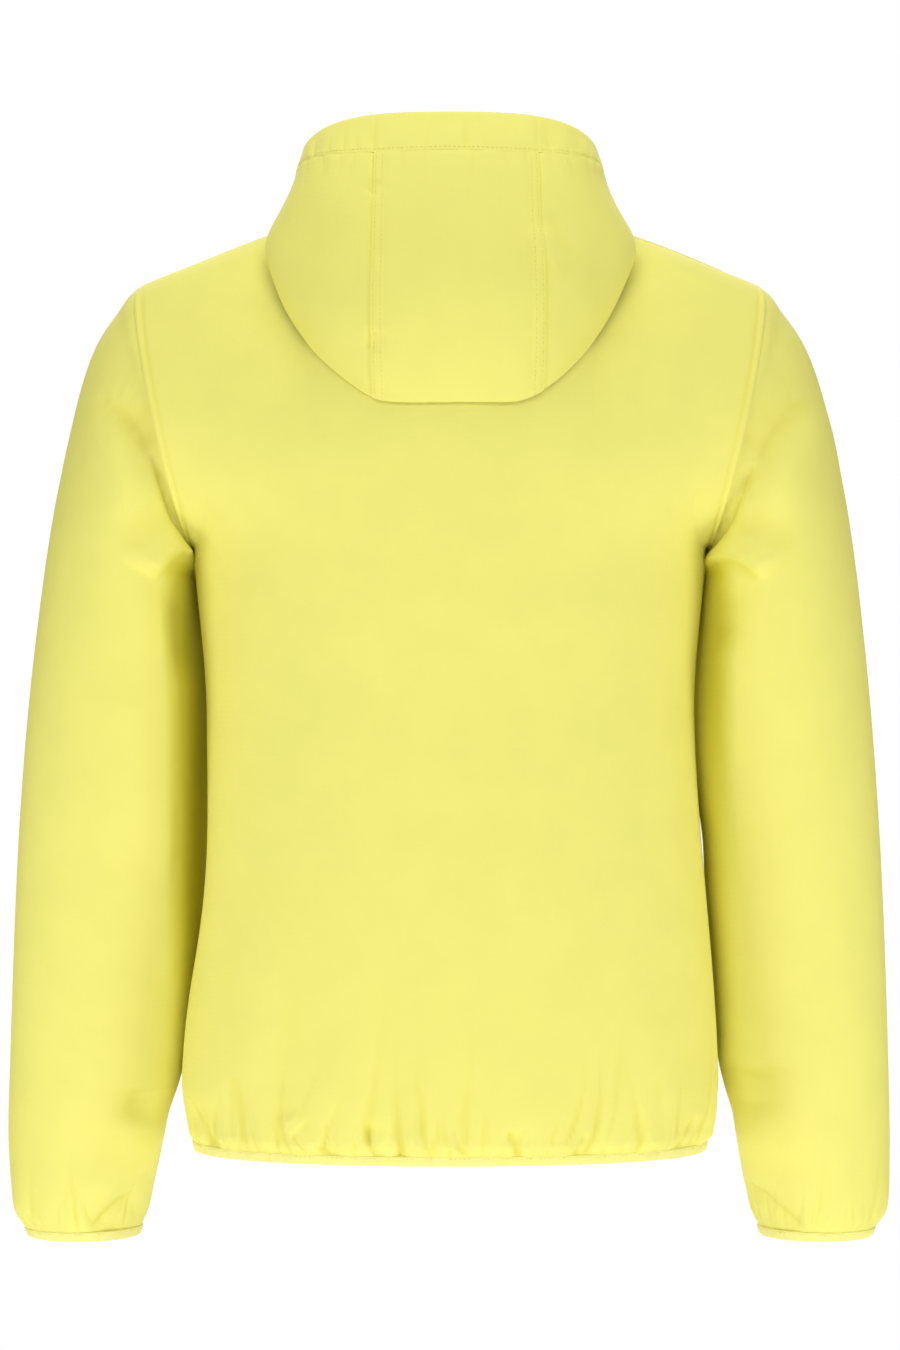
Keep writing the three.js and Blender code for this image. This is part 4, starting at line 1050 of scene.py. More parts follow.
def front_relief(seed, side):
    plain = body_relief(seed, -1, lambda x, z: 0)

    def relief(u, v, points, normal):
        moved = plain(u, v, points, normal)
        x, y, z = in_pocket(points, side)
        beyond = np.abs(z - POCKET_LENGTH / 2) - POCKET_LENGTH / 2 - SLOT_MARGIN
        outside = np.maximum(np.abs(x) - SLOT_HALF, beyond)
        zip_edge = u * SHOULDER_HALF
        welt = 0.6 * hump(outside - 3, 3) * (np.abs(y) < 30) + 0.5 * hump(zip_edge - 3, 3)
        keep = ease((outside - 6) / 25) * ease(zip_edge / 20)
        return moved * keep[..., None] + normal * welt[..., None]

    return relief


FRONT_U = stops((0.08, 12), (0.85, 80), (1, 26))
fronts = {}
for name, side, seed in (("left", 1, 31), ("right", -1, 47)):
    surface = front_face if side > 0 else mirrored(front_face)
    piece, size, grid = make_cloth(
        f"front_panel_{name}_cloth", surface, FRONT_U, BODY_STOPS_V, body_inside, "jacket",
        front_relief(seed, side), soft=soft_armpit(-1),
    )
    cut = cut_slot(piece, side)
    fronts[name] = (piece, size, grid)
    print("front", name, [round(x, 3) for x in size], "m, slot faces", cut)

# %% [markdown]
# ### Sleeves
# Each sleeve is one tube, set into the armhole with its cap a little full. It hangs straight, so the cloth
# under the shoulder buckles into a dent and an arch at the armpit. The cuff is gathered into its binding.

# %% Sleeves
def sleeve_inside(points):
    v = np.linspace(0, 1, points.shape[0])
    return np.broadcast_to(sleeve_middle(v)[:, None], points.shape)


CUFF_SHARE = BINDING_TALL / OUTER_LENGTH
SLEEVE_END = 1 - CUFF_SHARE * 0.78  # the cloth ends inside its folded binding
CUFF_ROUND = 270  # girth near the cuff, for the gathers' pitch


def towards_body(u, points, recess):
    """The inner side lies along the body from the armpit down. Its rear edge is tucked forward in a recess,
    which is given by its depth and the height where it ends."""
    x, z = np.abs(points[..., 0]), points[..., 2]
    deep, until = recess
    inner_x = x[:, np.abs(u[0] - 0.5).argmin()][:, None]
    beside = ease((-222 - z) / 14) * ease((z - until) / 90)
    below = ease((-430 - z) / 60) * (1 - beside)
    aim = body_half(z) - waist(points[..., 0], z) + 0.8 - 4.5 * beside - 2.2 * below
    near = ease((-200 - z) / 24) * ease((z + 650) / 60)
    inner = (0.5 - 0.5 * np.cos(2 * math.pi * u)) ** 1.5
    shift = (aim - inner_x) * near * inner
    forward = deep * ease((-230 - z) / 16) * ease((z - until) / 180) * (1 - ease((x + shift - 184) / 24))
    forward = forward * ease((0.68 - u) / 0.14) * ease(u / 0.1)
    return column(shift * np.sign(points[..., 0]), -forward, 0)


def sleeve_relief(seed, features, recess):
    def relief(u, v, points, normal):
        x, z = np.abs(points[..., 0]), points[..., 2]
        s = u * CUFF_ROUND
        start = v * OUTER_LENGTH
        h = (SLEEVE_END - v) * OUTER_LENGTH
        turn = 2 * math.pi * u
        moved = gathers(s, h, seed, (7, 14), (2.0, 4.6), (11, 20), lean=0.6, loop=CUFF_ROUND)
        moved += gathers(s, h, seed + 1, (20, 44), (1.0, 4.0), (20, 46), lean=0.5, loop=CUFF_ROUND)
        moved = moved * ease((h + 1) / 24) + dip(h, 3, 0.4)
        moved += 2.2 * drift(seed + 3, 3.0, np.cos(turn), np.sin(turn), v * 5) * ease(v / 0.2) * ease(h / 90)
        moved += dip(start, 2.2, 1.5) + 1.2 * hump(start - 11, 8)
        moved += ease(np.sin(turn) * 2.5) * features(x, z)
        moved *= ease(start / 4 + 0.4)
        return normal * moved[..., None] + towards_body(u, points, recess)

    return relief


left_folds = folds(
    ([(262, -112), (240, -126), (221, -150), (205, -190)], -12, 11, 24, 0.45),
    ([(217, -158), (205, -190), (193, -222), (184, -243)], -9, 3, 8, 0.3, True),
    ([(276, -130), (248, -160), (228, -196), (214, -222)], 5, 22, 14, 0.4),
    ([(226, -250), (213, -231), (198, -224), (184, -232)], 9, 5, 15, 0.25),
    ([(222, -244), (212, -262), (210, -330)], -5, 9, 9, 0.4),
    ([(232, -300), (236, -380), (230, -470)], 3.5, 22, 18, 0.4),
    ([(226, -620), (234, -655)], -5, 12, 14, 0.45),
    ([(231, -700), (250, -712), (268, -730)], -6, 4, 12, 0.3, True),
    ([(214, -668), (246, -690), (276, -706)], 4, 14, 10),
)
right_folds = folds(
    ([(270, -104), (246, -128), (226, -156), (208, -196)], -11, 11, 24, 0.45),
    ([(222, -165), (208, -192), (198, -216), (189, -236)], -8, 3, 8, 0.3, True),
    ([(282, -122), (254, -156), (234, -194), (218, -218)], 5, 22, 14, 0.4),
    ([(238, -248), (220, -232), (206, -229), (192, -237)], 8, 5, 15, 0.25),
    ([(228, -246), (217, -262), (215, -310)], -5, 9, 9, 0.4),
    ([(224, -600), (229, -650)], -4, 22, 20),
    ([(214, -692), (240, -710), (266, -729)], -5, 4, 12, 0.3, True),
)


def painted_shade_beside_body(u, points):
    """Painted shade where the sleeve's inner side faces the body and only light from the cloth itself reaches
    it.
    """
    x, z = np.abs(points[..., 0]), points[..., 2]
    inner = ease((u - 0.22) / 0.1) * ease((0.7 - u) / 0.1)
    along = ease((-226 - z) / 14) * ease((z + 680) / 150)
    return 0.6 * ease((214 - x) / 22) * inner * along


SLEEVE_U = stops((0.16, 26), (0.52, 96), (0.7, 26), (1.0, 44))
SLEEVE_V = stops((0.03, 14), (0.42, 110), (0.86, 50), (0.96, 34), (1.0, 22)) * SLEEVE_END
sleeves = {}
for name, side, seed, features, recess in (
    ("left", 1, 61, left_folds, (34, -620)), ("right", -1, 77, right_folds, (26, -450)),
):
    surface = sleeve_face if side > 0 else mirrored(sleeve_face)
    inside = sleeve_inside if side > 0 else (lambda p: sleeve_inside(p) * np.array([-1, 1, 1]))
    sleeves[name] = make_cloth(
        f"sleeve_{name}_cloth", surface, SLEEVE_U, SLEEVE_V, inside, f"{name}_sleeve",
        # the inner side beside the body gets painted shade
        sleeve_relief(seed, features, recess), wrap=True, recess_shade=painted_shade_beside_body,
    )
    print("sleeve", name, [round(x, 3) for x in sleeves[name][1]], "m")

# %% [markdown]
# ### Hood
# Three panels meet in two long seams. The rim is turned down over an elastic and stitched, so it is gently
# puckered. The hood lies down the back, where its fold rests on the part that turns under.

# %% Hood
BAND_SHARE = 0.16
SEAM_LEFT = math.asin(0.42)
SEAM_RIGHT = 0.53
LAP = 0.004  # the centre panel's folded edge lies this far, in radians, over the side panels
PANEL_GAP = 0.0001  # between the band and the panels, as a share of the hood's height
HOOD_RADIUS = 118
HOOD_TALL = 190  # from rim to fold, along the cloth


def over_hood(first, last):
    """A surface over the hood between two angles."""
    return lambda u, v: hood_face(lerp(first, last, u), v)


def seam_relief(distance, raised):
    """Across a hood seam, by the distance inside the centre panel: its folded edge is lapped over the side
    panel, and two stitched rows press it down."""
    if not raised:
        return dip(distance, 3.5, 0.75)
    pad = 0.55 * ease((10 - distance) / 3)
    rows = dip(distance - 2.0, 0.8, 0.22) + dip(distance - 7, 0.9, 0.25)
    return pad + rows


def casing_relief(s, h):
    """Puckers on both sides of the stitched line under the rim."""
    return gathers(s, h, 94, (11, 30), (0.2, 1.1), (7, 20)) * ease((h + 2) / 6) + dip(h, 2.5, 0.15)


hood_folds = folds(
    ([(50, 34), (58, 20)], -1.6, 6, 8),
    ([(49, -76), (57, -92)], -1.6, 6, 8),
    ([(-58, 2), (-66, -20), (-82, -42)], 2.6, 7, 13),
    ([(-70, 14), (-76, -10), (-92, -34)], -1.6, 10, 9),
)


def hood_relief(first, last, raised):
    def relief(u, v, points, normal):
        angle = lerp(first, last, u)
        x, y, z = np.moveaxis(points, -1, 0)
        moved = 1.2 * drift(90, 90, x, z, y) * ease((v - BAND_SHARE) / 0.1)
        for inward in ((angle + SEAM_RIGHT + LAP) * HOOD_RADIUS, (SEAM_LEFT + LAP - angle) * HOOD_RADIUS):
            if raised:
                moved += seam_relief(inward, True)
            else:
                moved += seam_relief(np.maximum(-inward, 0), False) * (inward < 20)
        moved += casing_relief(angle * HOOD_RADIUS + 400, np.abs((v - BAND_SHARE) * HOOD_TALL))
        return moved + hood_folds(x, z)

    return relief


PANEL_START = BAND_SHARE + PANEL_GAP
HOOD_V = PANEL_START + stops((0.12, 24), (1.0, 120)) * (1 - PANEL_START)
hood = {}
for name, first, last, count in (
    ("hood_centre_panel", -SEAM_RIGHT - LAP, SEAM_LEFT + LAP, 110),
    ("hood_side_panel_left", SEAM_LEFT, HOOD_END, 130),
    ("hood_side_panel_right", -HOOD_END, -SEAM_RIGHT, 130),
):
    hood[name] = make_cloth(
        name + "_cloth", over_hood(first, last), np.linspace(0, 1, count + 1), HOOD_V, hood_inside,
        "hood", hood_relief(first, last, raised=name == "hood_centre_panel"),
    )
    print(name, [round(x, 3) for x in hood[name][1]], "m")


def band_relief(u, v, points, normal):
    angle = lerp(-HOOD_END, HOOD_END, u)
    s = angle * HOOD_RADIUS + 400
    from_stitch = (BAND_SHARE - v) * HOOD_TALL
    from_rim = v * HOOD_TALL
    moved = casing_relief(s, from_stitch)
    moved += 0.8 * drift(95, 34, s, from_rim * 0.3) * ease(from_stitch / 8) * ease(from_rim / 14)
    moved += dip(from_rim, 2.0, 1.5)
    for seam in (SEAM_LEFT, -SEAM_RIGHT):
        moved += dip((angle - seam) * HOOD_RADIUS, 1.8, 0.35)
    return moved


BAND_V = stops((0.12, 10), (1, 30)) * (BAND_SHARE - PANEL_GAP)
hood["hood_rim_band"] = make_cloth(
    "hood_rim_band_cloth", over_hood(-HOOD_END, HOOD_END), np.linspace(0, 1, 361), BAND_V, hood_inside,
    "hood", band_relief, thickness=CLOTH * 1.6,
)


def elastic_surface(u, v):
    face = over_hood(-HOOD_END, HOOD_END)
    return face(u, v) - 2.4 * normals(face, u, v, hood_inside)


hood["hood_rim_elastic"] = make_cloth(
    "hood_rim_elastic_cloth", elastic_surface, np.linspace(0.03, 0.97, 241), np.linspace(0.03, 0.13, 7),
    hood_inside, "hood", lambda u, v, p, n: 0.3 * np.sin(u * 900), cloth=(ribbed, ribbed), thickness=0.8,
)

UNDERLAP_INSET = 2


def underlap_surface(u, v):
    side = 2 * np.asarray(u, float) - 1
    angle = np.abs(side) * math.pi / 2
    x = (HOOD_HALF - UNDERLAP_INSET) * np.sin(angle)
    z = UNDERLAP_INSET + lerp(-HOOD_SIDE_DROP, -HOOD_HANG, hood_hang(np.cos(angle)))
    fold_u, fold_v = back_at(x[0], z[0])
    at_u = lerp(NECK_SHARE * np.abs(side) * 0.94, fold_u, v)
    at_v = lerp(0.978, fold_v, v)
    point = half_back(at_u, at_v) + 2.3 * normals(half_back, at_u, at_v, body_inside)
    return on_its_side(point, side)


hood["hood_underlap"] = make_cloth(
    "hood_underlap_cloth", underlap_surface, np.linspace(0, 1, 121), np.linspace(0, 1, 49), body_inside,
    "jacket", lambda u, v, p, n: 0.25 * drift(96, 60, p[..., 0], p[..., 2]), thickness=1.0,
)
print("hood pieces", sorted(hood))

# %% [markdown]
# ### Stretch bindings
# The hem and the cuffs are bound with one folded stretch tape each. The tape wraps the cloth's raw edge,
# one row of stitches holds it, and its elastic makes it ripple a little.

# %% Bands swept along a line
def sweep(name, line, out, up, half_high, half_thick, ride_on, stands_for, closed=False, ripple=0.0, seed=5):
    """A folded stretch tape along a line of points, its broad face towards out and its width along up."""
    sections = 20
    angle = np.linspace(0, 2 * math.pi, sections + 1)
    flat = 0.55  # below 1, the section is squarer than an ellipse
    high = half_high * np.sign(np.sin(angle)) * np.abs(np.sin(angle)) ** flat
    thick = half_thick * np.sign(np.cos(angle)) * np.abs(np.cos(angle)) ** flat
    s = distances(line)
    wave = 0
    if ripple:
        wave = ripple * (gathers(s, 0 * s, seed, (9, 17), (0.4, 1.0), (9, 10), loop=s[-1]) - 0.4)
    line = line + out * np.atleast_1d(wave)[:, None]
    line = line + up * (0.5 * np.atleast_1d(wave)[:, None])
    points = line[None] + high[:, None, None] * up[None] + thick[:, None, None] * out[None]
    mesh = grid_mesh(name, np.swapaxes(points, 0, 1), np.stack(np.meshgrid(angle * half_high, s), -1))
    bm = bmesh.new()
    bm.from_mesh(mesh)
    bmesh.ops.remove_doubles(bm, verts=[v for v in bm.verts if v.is_boundary], dist=1e-6)
    if not closed:
        bmesh.ops.holes_fill(bm, edges=[e for e in bm.edges if e.is_boundary], sides=0)
    bmesh.ops.recalc_face_normals(bm, faces=bm.faces)
    bm.to_mesh(mesh)
    bm.free()
    mesh.shade_smooth()
    return new_object(name, mesh, (ribbed,), ride_on, stands_for)


def bind(name, line, up, heart, ride_on, stands_for, closed, seed):
    """Binds an edge with the tape, along a line that runs round heart. Returns the tape, and the line of its
    stitches with the way that they face."""
    along = unit(np.gradient(line, axis=0))
    if closed:
        along[0] = along[-1] = unit(line[1] - line[-2])
    out = unit(np.cross(along, up))
    out *= np.sign((out * (line - heart(line))).sum(-1, keepdims=True))
    line = line - out * 0.6
    tape = sweep(
        name, line, out, up, BINDING_TALL / 2, BINDING_THICK / 2, ride_on, stands_for, closed, 0.7, seed
    )
    return tape, (line + up * (BINDING_TALL / 2 - 1.7) + out * (BINDING_THICK / 2 - 0.12), out)


def hem_at(u, z):
    """A place on the body at the hem, from the right edge of the zip, round the back, to the left edge."""
    across = 2 * np.asarray(u, float) - 1
    quarter = np.abs(across) * 2
    share = np.where(quarter < 1, quarter, 2 - quarter)
    v = (z - HEM_Z) / (ARMPIT_Z - HEM_Z) / 2 + 0 * share
    rear = bezier(body_section(1, v, HEM_Z), share)
    front = bezier(body_section(-1, v, HEM_Z), share)
    point = np.where((quarter < 1)[..., None], rear, front)
    return on_its_side(point, across)


BINDING_THICK = 2.8
turn = np.linspace(0, 1, 701)
hem_up = unit(hem_at(turn, HEM_Z + BINDING_TALL) - hem_at(turn, HEM_Z))
hem, hem_seam = bind(
    "hem_binding_tape", hem_at(turn, HEM_Z + BINDING_TALL / 2), hem_up,
    lambda line: line * np.array([0, 0, 1]), "jacket", "hem_binding", False, 101,
)
cuffs = {}
turn = np.linspace(0, 1, 241)
for name, side in (("left", 1), ("right", -1)):
    face = sleeve_face if side > 0 else mirrored(sleeve_face)
    lower, upper = face(turn, 1.0), face(turn, 1 - CUFF_SHARE)
    cuffs[name] = bind(
        f"cuff_binding_{name}_tape", (lower + upper) / 2, unit(upper - lower), lambda line: line.mean(0),
        f"{name}_sleeve", f"cuff_binding_{name}", True, 103 + side,
    )
print("bindings", hem.name, [c[0].name for c in cuffs.values()])

# %% [markdown]
# ### Collar and the inside of the neck
# The stand collar is zipped up under the hood. A facing lines it, a tape covers the seam at the nape, and
# the tape carries the hanger loop. A blank label is sewn below it.

# %% Collar, facing, neck tape, loop and label
def collar_relief(u, v, points, normal):
    soft = 0.7 * drift(111, 60, *np.moveaxis(points, -1, 0)) * ease(v / 0.2)
    return soft + dip((1 - v) * 60, 2, 1.1) + dip(v * 60, 2.5, 0.9)


def inside_collar(depth, low_v, high_v, reach):
    def surface(u, v):
        u = 0.5 + (u - 0.5) * reach
        v = lerp(low_v, high_v, v)
        return collar_face(u, v) - depth * normals(collar_face, u, v, body_inside)

    return surface


def still(u, v, points, normal):
    return 0.25 * drift(7, 25, *np.moveaxis(points, -1, 0))


NECK_U = np.linspace(0, 1, 221)
collar, collar_size, collar_cloth = make_cloth(
    "collar_cloth", collar_face, NECK_U, stops((0.1, 6), (0.9, 24), (1, 8)), body_inside, "jacket",
    collar_relief,
)
facing, facing_size, _ = make_cloth(
    "collar_facing_cloth", inside_collar(1.8, 0.28, 0.97, 0.9), NECK_U, np.linspace(0, 1, 25), body_inside,
    "jacket", still, cloth=(lining, lining), thickness=0.9,
)
neck_tape, _, _ = make_cloth(
    "neck_tape_cloth", inside_collar(1.8, 0.02, 0.22, 0.51), np.linspace(0, 1, 121), np.linspace(0, 1, 9),
    body_inside, "jacket", still, cloth=(woven, woven), thickness=1.0,
)

LOOP_HALF, LOOP_BOW, LOOP_HALF_WIDE, LOOP_HALF_THICK = 34, 9, 3.5, 0.6
q = math.asin(LOOP_HALF / NECK_HALF) / math.pi
loop_end = inside_collar(3.3, 0, 1, 1)(np.array([(1 + q) / 2]), np.array([0.12]))[0]
x = np.linspace(-loop_end[0], loop_end[0], 61)
bow = loop_end[1] - LOOP_BOW * np.cos(x / loop_end[0] * math.pi / 2) ** 2 - LOOP_HALF_THICK
line = column(x, bow, loop_end[2])
loop_out = unit(np.cross(unit(np.gradient(line, axis=0)), np.array([0, 0, 1.0])))
loop = sweep(
    "hanger_loop_strap", line, loop_out, np.broadcast_to(np.array([0, 0, 1.0]), line.shape),
    LOOP_HALF_WIDE, LOOP_HALF_THICK, "jacket", "hanger_loop",
)


def label_surface(u, v):
    across, row = lerp(-0.16, 0.16, u), lerp(0.92, 0.982, v)
    u = np.abs(across)
    point = half_back(u, row) - 3.3 * normals(half_back, u, row, body_inside)
    return on_its_side(point, across)


label, _, _ = make_cloth(
    "neck_label_patch", label_surface, np.linspace(0, 1, 41), np.linspace(0, 1, 21), body_inside, "jacket",
    lambda u, v, p, n: 0.2 * np.sin(u * 9) * np.sin(v * 5), cloth=(label_cloth, label_cloth), thickness=0.6,
    stands_for="neck_label",
)
print("collar", [round(x, 3) for x in collar_size], "m")

# %% [markdown]
# ### Zips
# The front zip runs from the hem to the chin in one straight line, and each pocket has a smaller one. Their
# moulded teeth are clamped on the edges of two woven tapes, and the two rows mesh. Sliders, tabs and end
# pieces are hard, so they are kept from the frame with their edges rounded.

# %% Zip makers
def zip_place(frame_matrix, points, side=1):
    """Points in a zip's own frame, in millimetres, placed in the jacket's frame, in millimetres."""
    matrix = np.array(frame_matrix)
    placed = points @ matrix[:3, :3].T + matrix[:3, 3] / MM
    return placed * np.array([side, 1, 1])


def bar(low_corner, high_corner, edge, segments=2):
    bm = bmesh.new()
    bmesh.ops.create_cube(bm, size=1)
    size = Vector(high_corner) - Vector(low_corner)
    bmesh.ops.scale(bm, vec=size, verts=bm.verts)
    bmesh.ops.translate(bm, vec=(Vector(high_corner) + Vector(low_corner)) / 2, verts=bm.verts)
    bmesh.ops.bevel(
        bm, geom=bm.edges[:], offset=edge, segments=segments, profile=0.5, affect="EDGES", material=-1
    )
    return bm


def template(parts):
    """Vertices and faces of several bars, as arrays."""
    points, faces = [], []
    for bm in parts:
        bm.verts.ensure_lookup_table()
        start = len(points)
        points += [tuple(v.co) for v in bm.verts]
        faces += [[start + v.index for v in f.verts] for f in bm.faces]
        bm.free()
    return np.array(points), faces


def copies(name, points, faces):
    """One mesh of many copies of a shape: points holds each copy's own, in millimetres."""
    count, size = points.shape[:2]
    all_faces = [[i * size + k for k in face] for i in range(count) for face in faces]
    mesh = bpy.data.meshes.new(name)
    mesh.from_pydata((points.reshape(-1, 3) * MM).tolist(), [], all_faces)
    mesh.update()
    return mesh


def repeated(name, shape, places, stands_for, mirror=False):
    """Moulded copies of a shape. Each place turns the shape's points into placed ones."""
    points, faces = shape
    faces = [face[::-1] if mirror else face for face in faces]
    mesh = copies(name, np.array([place(points) for place in places]), faces)
    return new_object(name, mesh, (moulded,), "jacket", stands_for)


TOOTH_PITCH = 2.6


def tooth(scale, middle):
    """A moulded tooth: a foot clamped round the tape's bead, and a head that reaches past the middle."""
    parts = []
    for inner, outer, deep, high in ((1.7, 3.0, 1.3, 0.85), (-0.55, 1.9, 1.05, 0.55)):
        deep = deep * scale
        parts.append(bar((inner * scale, middle - deep, -high), (outer * scale, middle + deep, high), 0.25))
    return template(parts)


def teeth_places(frame_matrix, bottom, top, row, side):
    count = int((top - bottom) / TOOTH_PITCH)
    start = bottom + 0.9 + (TOOTH_PITCH / 2 if row < 0 else 0)
    flip = np.array([row, 1, 1])

    def at(z):
        return lambda p: zip_place(frame_matrix, p * flip + np.array([0, 0, z]), side)

    return [at(start + i * TOOTH_PITCH) for i in range(count) if start + i * TOOTH_PITCH < top - 0.8]


def rounded_node(name, material, width):
    """A hard piece of the frame, with its edges rounded."""
    piece = frame["nodes"][name]
    weld = piece.modifiers.new("weld", "WELD")
    weld.merge_threshold = 0.00001
    bevel = piece.modifiers.new("rounded_edges", "BEVEL")
    bevel.width = width * MM
    bevel.segments = 2
    bevel.limit_method = "ANGLE"
    bevel.angle_limit = math.radians(35)
    piece.data.materials.clear()
    piece.data.materials.append(material)


ZIP_LENGTH = math.hypot(ZIP_TOP[1] - HEM_Z, ZIP_TOP[0] - ZIP_BOTTOM[0])
ZIP_TILT = -math.atan2(ZIP_TOP[0] - ZIP_BOTTOM[0], ZIP_TOP[1] - HEM_Z)
front_frame = Matrix.Translation((0, ZIP_BOTTOM[0] * MM, HEM_Z * MM)) @ Matrix.Rotation(ZIP_TILT, 4, "X")
TAPE_FRONT, TAPE_OUT, CHAIN_OUT = 2.7, 12, 3.0
PIN_TOP = 29
STOP = 3.2
front_middle = TAPE_FRONT + 0.25


def flat_surface(frame_matrix, x, y, z, side=1):
    """A flat cloth in a zip's frame, from x[0] to x[1] across and z[0] to z[1] up, at depth y."""
    return lambda u, v: zip_place(frame_matrix, column(lerp(*x, u), y, lerp(*z, v)), side)


def zip_heart(points):
    """Middle plane of the jacket, which a zip's cloths face away from."""
    return points * np.array([1, 0, 1])


TAPE_START = 14
STOP_LOW = ZIP_LENGTH - STOP
stop_shape = template(
    [
        bar((0.8, front_middle - 1.6, 0), (3.15, front_middle + 1.6, 1.4), 0.3),
        bar((1.2, front_middle - 1.2, 1.0), (3.05, front_middle + 1.2, 2.4), 0.3),
        bar((0.8, front_middle - 1.5, 2.0), (3.15, front_middle + 1.5, STOP), 0.3),
    ]
)
pin_shape = template(
    [
        bar((0.9, front_middle - 1.1, 8.4), (2.9, front_middle + 1.1, PIN_TOP), 0.4),
        bar((0.8, front_middle - 1.25, 24), (3.0, front_middle + 1.25, PIN_TOP), 0.3),
    ]
)
tapes, teeth = {}, {}
for name, side in (("left", 1), ("right", -1)):
    tapes[name] = make_cloth(
        f"zip_tape_{name}_cloth",
        flat_surface(front_frame, (CHAIN_OUT + 0.2, TAPE_OUT), TAPE_FRONT, (TAPE_START, ZIP_LENGTH), side),
        np.linspace(0, 1, 9), np.linspace(0, 1, 321), zip_heart, "jacket",
        lambda u, v, p, n: 0.12 * np.sin(v * 260) + 0.1 * np.sin(v * 97 + u * 4), thickness=0.5,
        cloth=(woven, woven),
    )
    teeth[name] = repeated(
        f"zip_teeth_{name}_row", tooth(1, front_middle),
        teeth_places(front_frame, PIN_TOP, STOP_LOW - 0.4, side, 1), f"zip_teeth_{name}", mirror=side < 0,
    )
    repeated(
        f"zip_top_stop_{name}_moulded", stop_shape,
        [lambda p: zip_place(front_frame, (p + np.array([0, 0, STOP_LOW])) * np.array([side, 1, 1]))],
        f"zip_top_stop_{name}", mirror=side < 0,
    )
repeated(
    "zip_insertion_pin_moulded", pin_shape, [lambda p: zip_place(front_frame, p)], "zip_insertion_pin"
)
rounded_node("zip_retainer_box", moulded, 0.35)
pocket_metal = [f"pocket_{part}_{name}" for name in ("left", "right") for part in ("slider", "pull")]
for name in ["zip_slider", "zip_pull"] + pocket_metal:
    rounded_node(name, lacquer, 0.3)
print("front zip", round(ZIP_LENGTH), "mm long")


# %% Storm flap and chin guard
FLAP_HALF = 14
flap_web = TAPE_FRONT + 0.5 + 0.4
flap_line = np.array(  # across and inwards
    [(-11.6, flap_web), (-11.0, 6.6), (-9.6, 7.6), (-6, 7.9), (FLAP_HALF - 1, 7.9), (FLAP_HALF, 7.5)]
)
flap_share = distances(flap_line) / distances(flap_line)[-1]


def flap_surface(u, v):
    x, y = np.moveaxis(resampled(u, flap_share, flap_line), -1, 0)
    return zip_place(front_frame, column(x, y, lerp(9, ZIP_LENGTH - 9, v)))


storm, storm_size, _ = make_cloth(
    "storm_flap_cloth", flap_surface, np.linspace(0, 1, 41), np.linspace(0, 1, 221), zip_heart, "jacket",
    lambda u, v, p, n: 0.35 * drift(121, 60, p[..., 2] * 0.6, p[..., 0]) * np.clip(u * 3, 0, 1),
    thickness=0.8,
)
GUARD_HALF = ZIP_EDGE - 0.6
guard_line = np.array(  # inwards and up
    [(-0.3, ZIP_LENGTH + 0.4), (0.3, ZIP_LENGTH + 1.2), (2, ZIP_LENGTH + 1.4), (7.5, ZIP_LENGTH + 1.4),
     (9.2, ZIP_LENGTH + 0.8), (9.6, ZIP_LENGTH - 1), (9.6, ZIP_LENGTH - 34)]
)
guard_share = distances(guard_line) / distances(guard_line)[-1]


def guard_surface(u, v):
    y, z = np.moveaxis(resampled(v, guard_share, guard_line), -1, 0)
    return zip_place(front_frame, column(lerp(-GUARD_HALF, GUARD_HALF, u), y, z))


guard, guard_size, _ = make_cloth(
    "chin_guard_cloth", guard_surface, np.linspace(0, 1, 17), np.linspace(0, 1, 49),
    lambda p: column(0, -95, 0 * p[..., 2]), "jacket", lambda u, v, p, n: 0.15 * np.sin(v * 20),
    thickness=0.8,
)

# %% [markdown]
# ### Pockets
# Behind each front, a flat bag hangs round its zip. The zip's tapes fill the slot in the cloth.

# %% Pocket bags, tapes and teeth
POCKET_SCALE = 0.8
POCKET_TAPE = 3.4
TAPE_HALF = 12 * POCKET_SCALE
TAPE_PAST = 7  # how far the tape runs past the teeth at both ends
CHAIN_HALF, CHAIN_PAST = 2.7, 1.5  # the hole for the teeth in the tape
MOUTH_HALF, MOUTH_PAST = 6.8, 6  # the bag's mouth
BAG_IN = 4.8  # how far behind the front the bag hangs
POCKET_TOP, POCKET_BOTTOM = (116, -415), (142, -565)  # x and z of the zip's two ends


def front_place(x, z):
    """Pattern place of a point of the front, by its x and its height."""
    v = (z - PANEL_BOTTOM) / (ARMPIT_Z - PANEL_BOTTOM) / 2
    u = np.linspace(0, 1, 400)
    return np.interp(x, front_face(u, v + 0 * u)[:, 0], u), v


top_u, top_v = front_place(*POCKET_TOP)
_, bottom_v = front_place(*POCKET_BOTTOM)


def slot_stops(low_end, high_end, hole_low, hole_high, steps):
    """Stops from 0 to 1 that fall on both edges of a hole."""
    edge = abs(hole_low - low_end) / (high_end - low_end)
    far = (hole_high - low_end) / (high_end - low_end)
    parts = [np.linspace(0, edge, 4), np.linspace(edge, far, steps), np.linspace(far, 1, 4)]
    return np.unique(np.concatenate(parts))


def bag_surface(face):
    def surface(u, v):
        u, v = lerp(0.16, top_u + 0.22, u), lerp(bottom_v - 0.05, top_v + 0.03, v)
        return face(u, v) - BAG_IN * normals(face, u, v, body_inside)

    return surface


def bag_relief(u, v, points, normal):
    return -0.8 * (1 + drift(131, 70, points[..., 0], points[..., 2])) * ease(4 * u) * ease(4 - 4 * u)


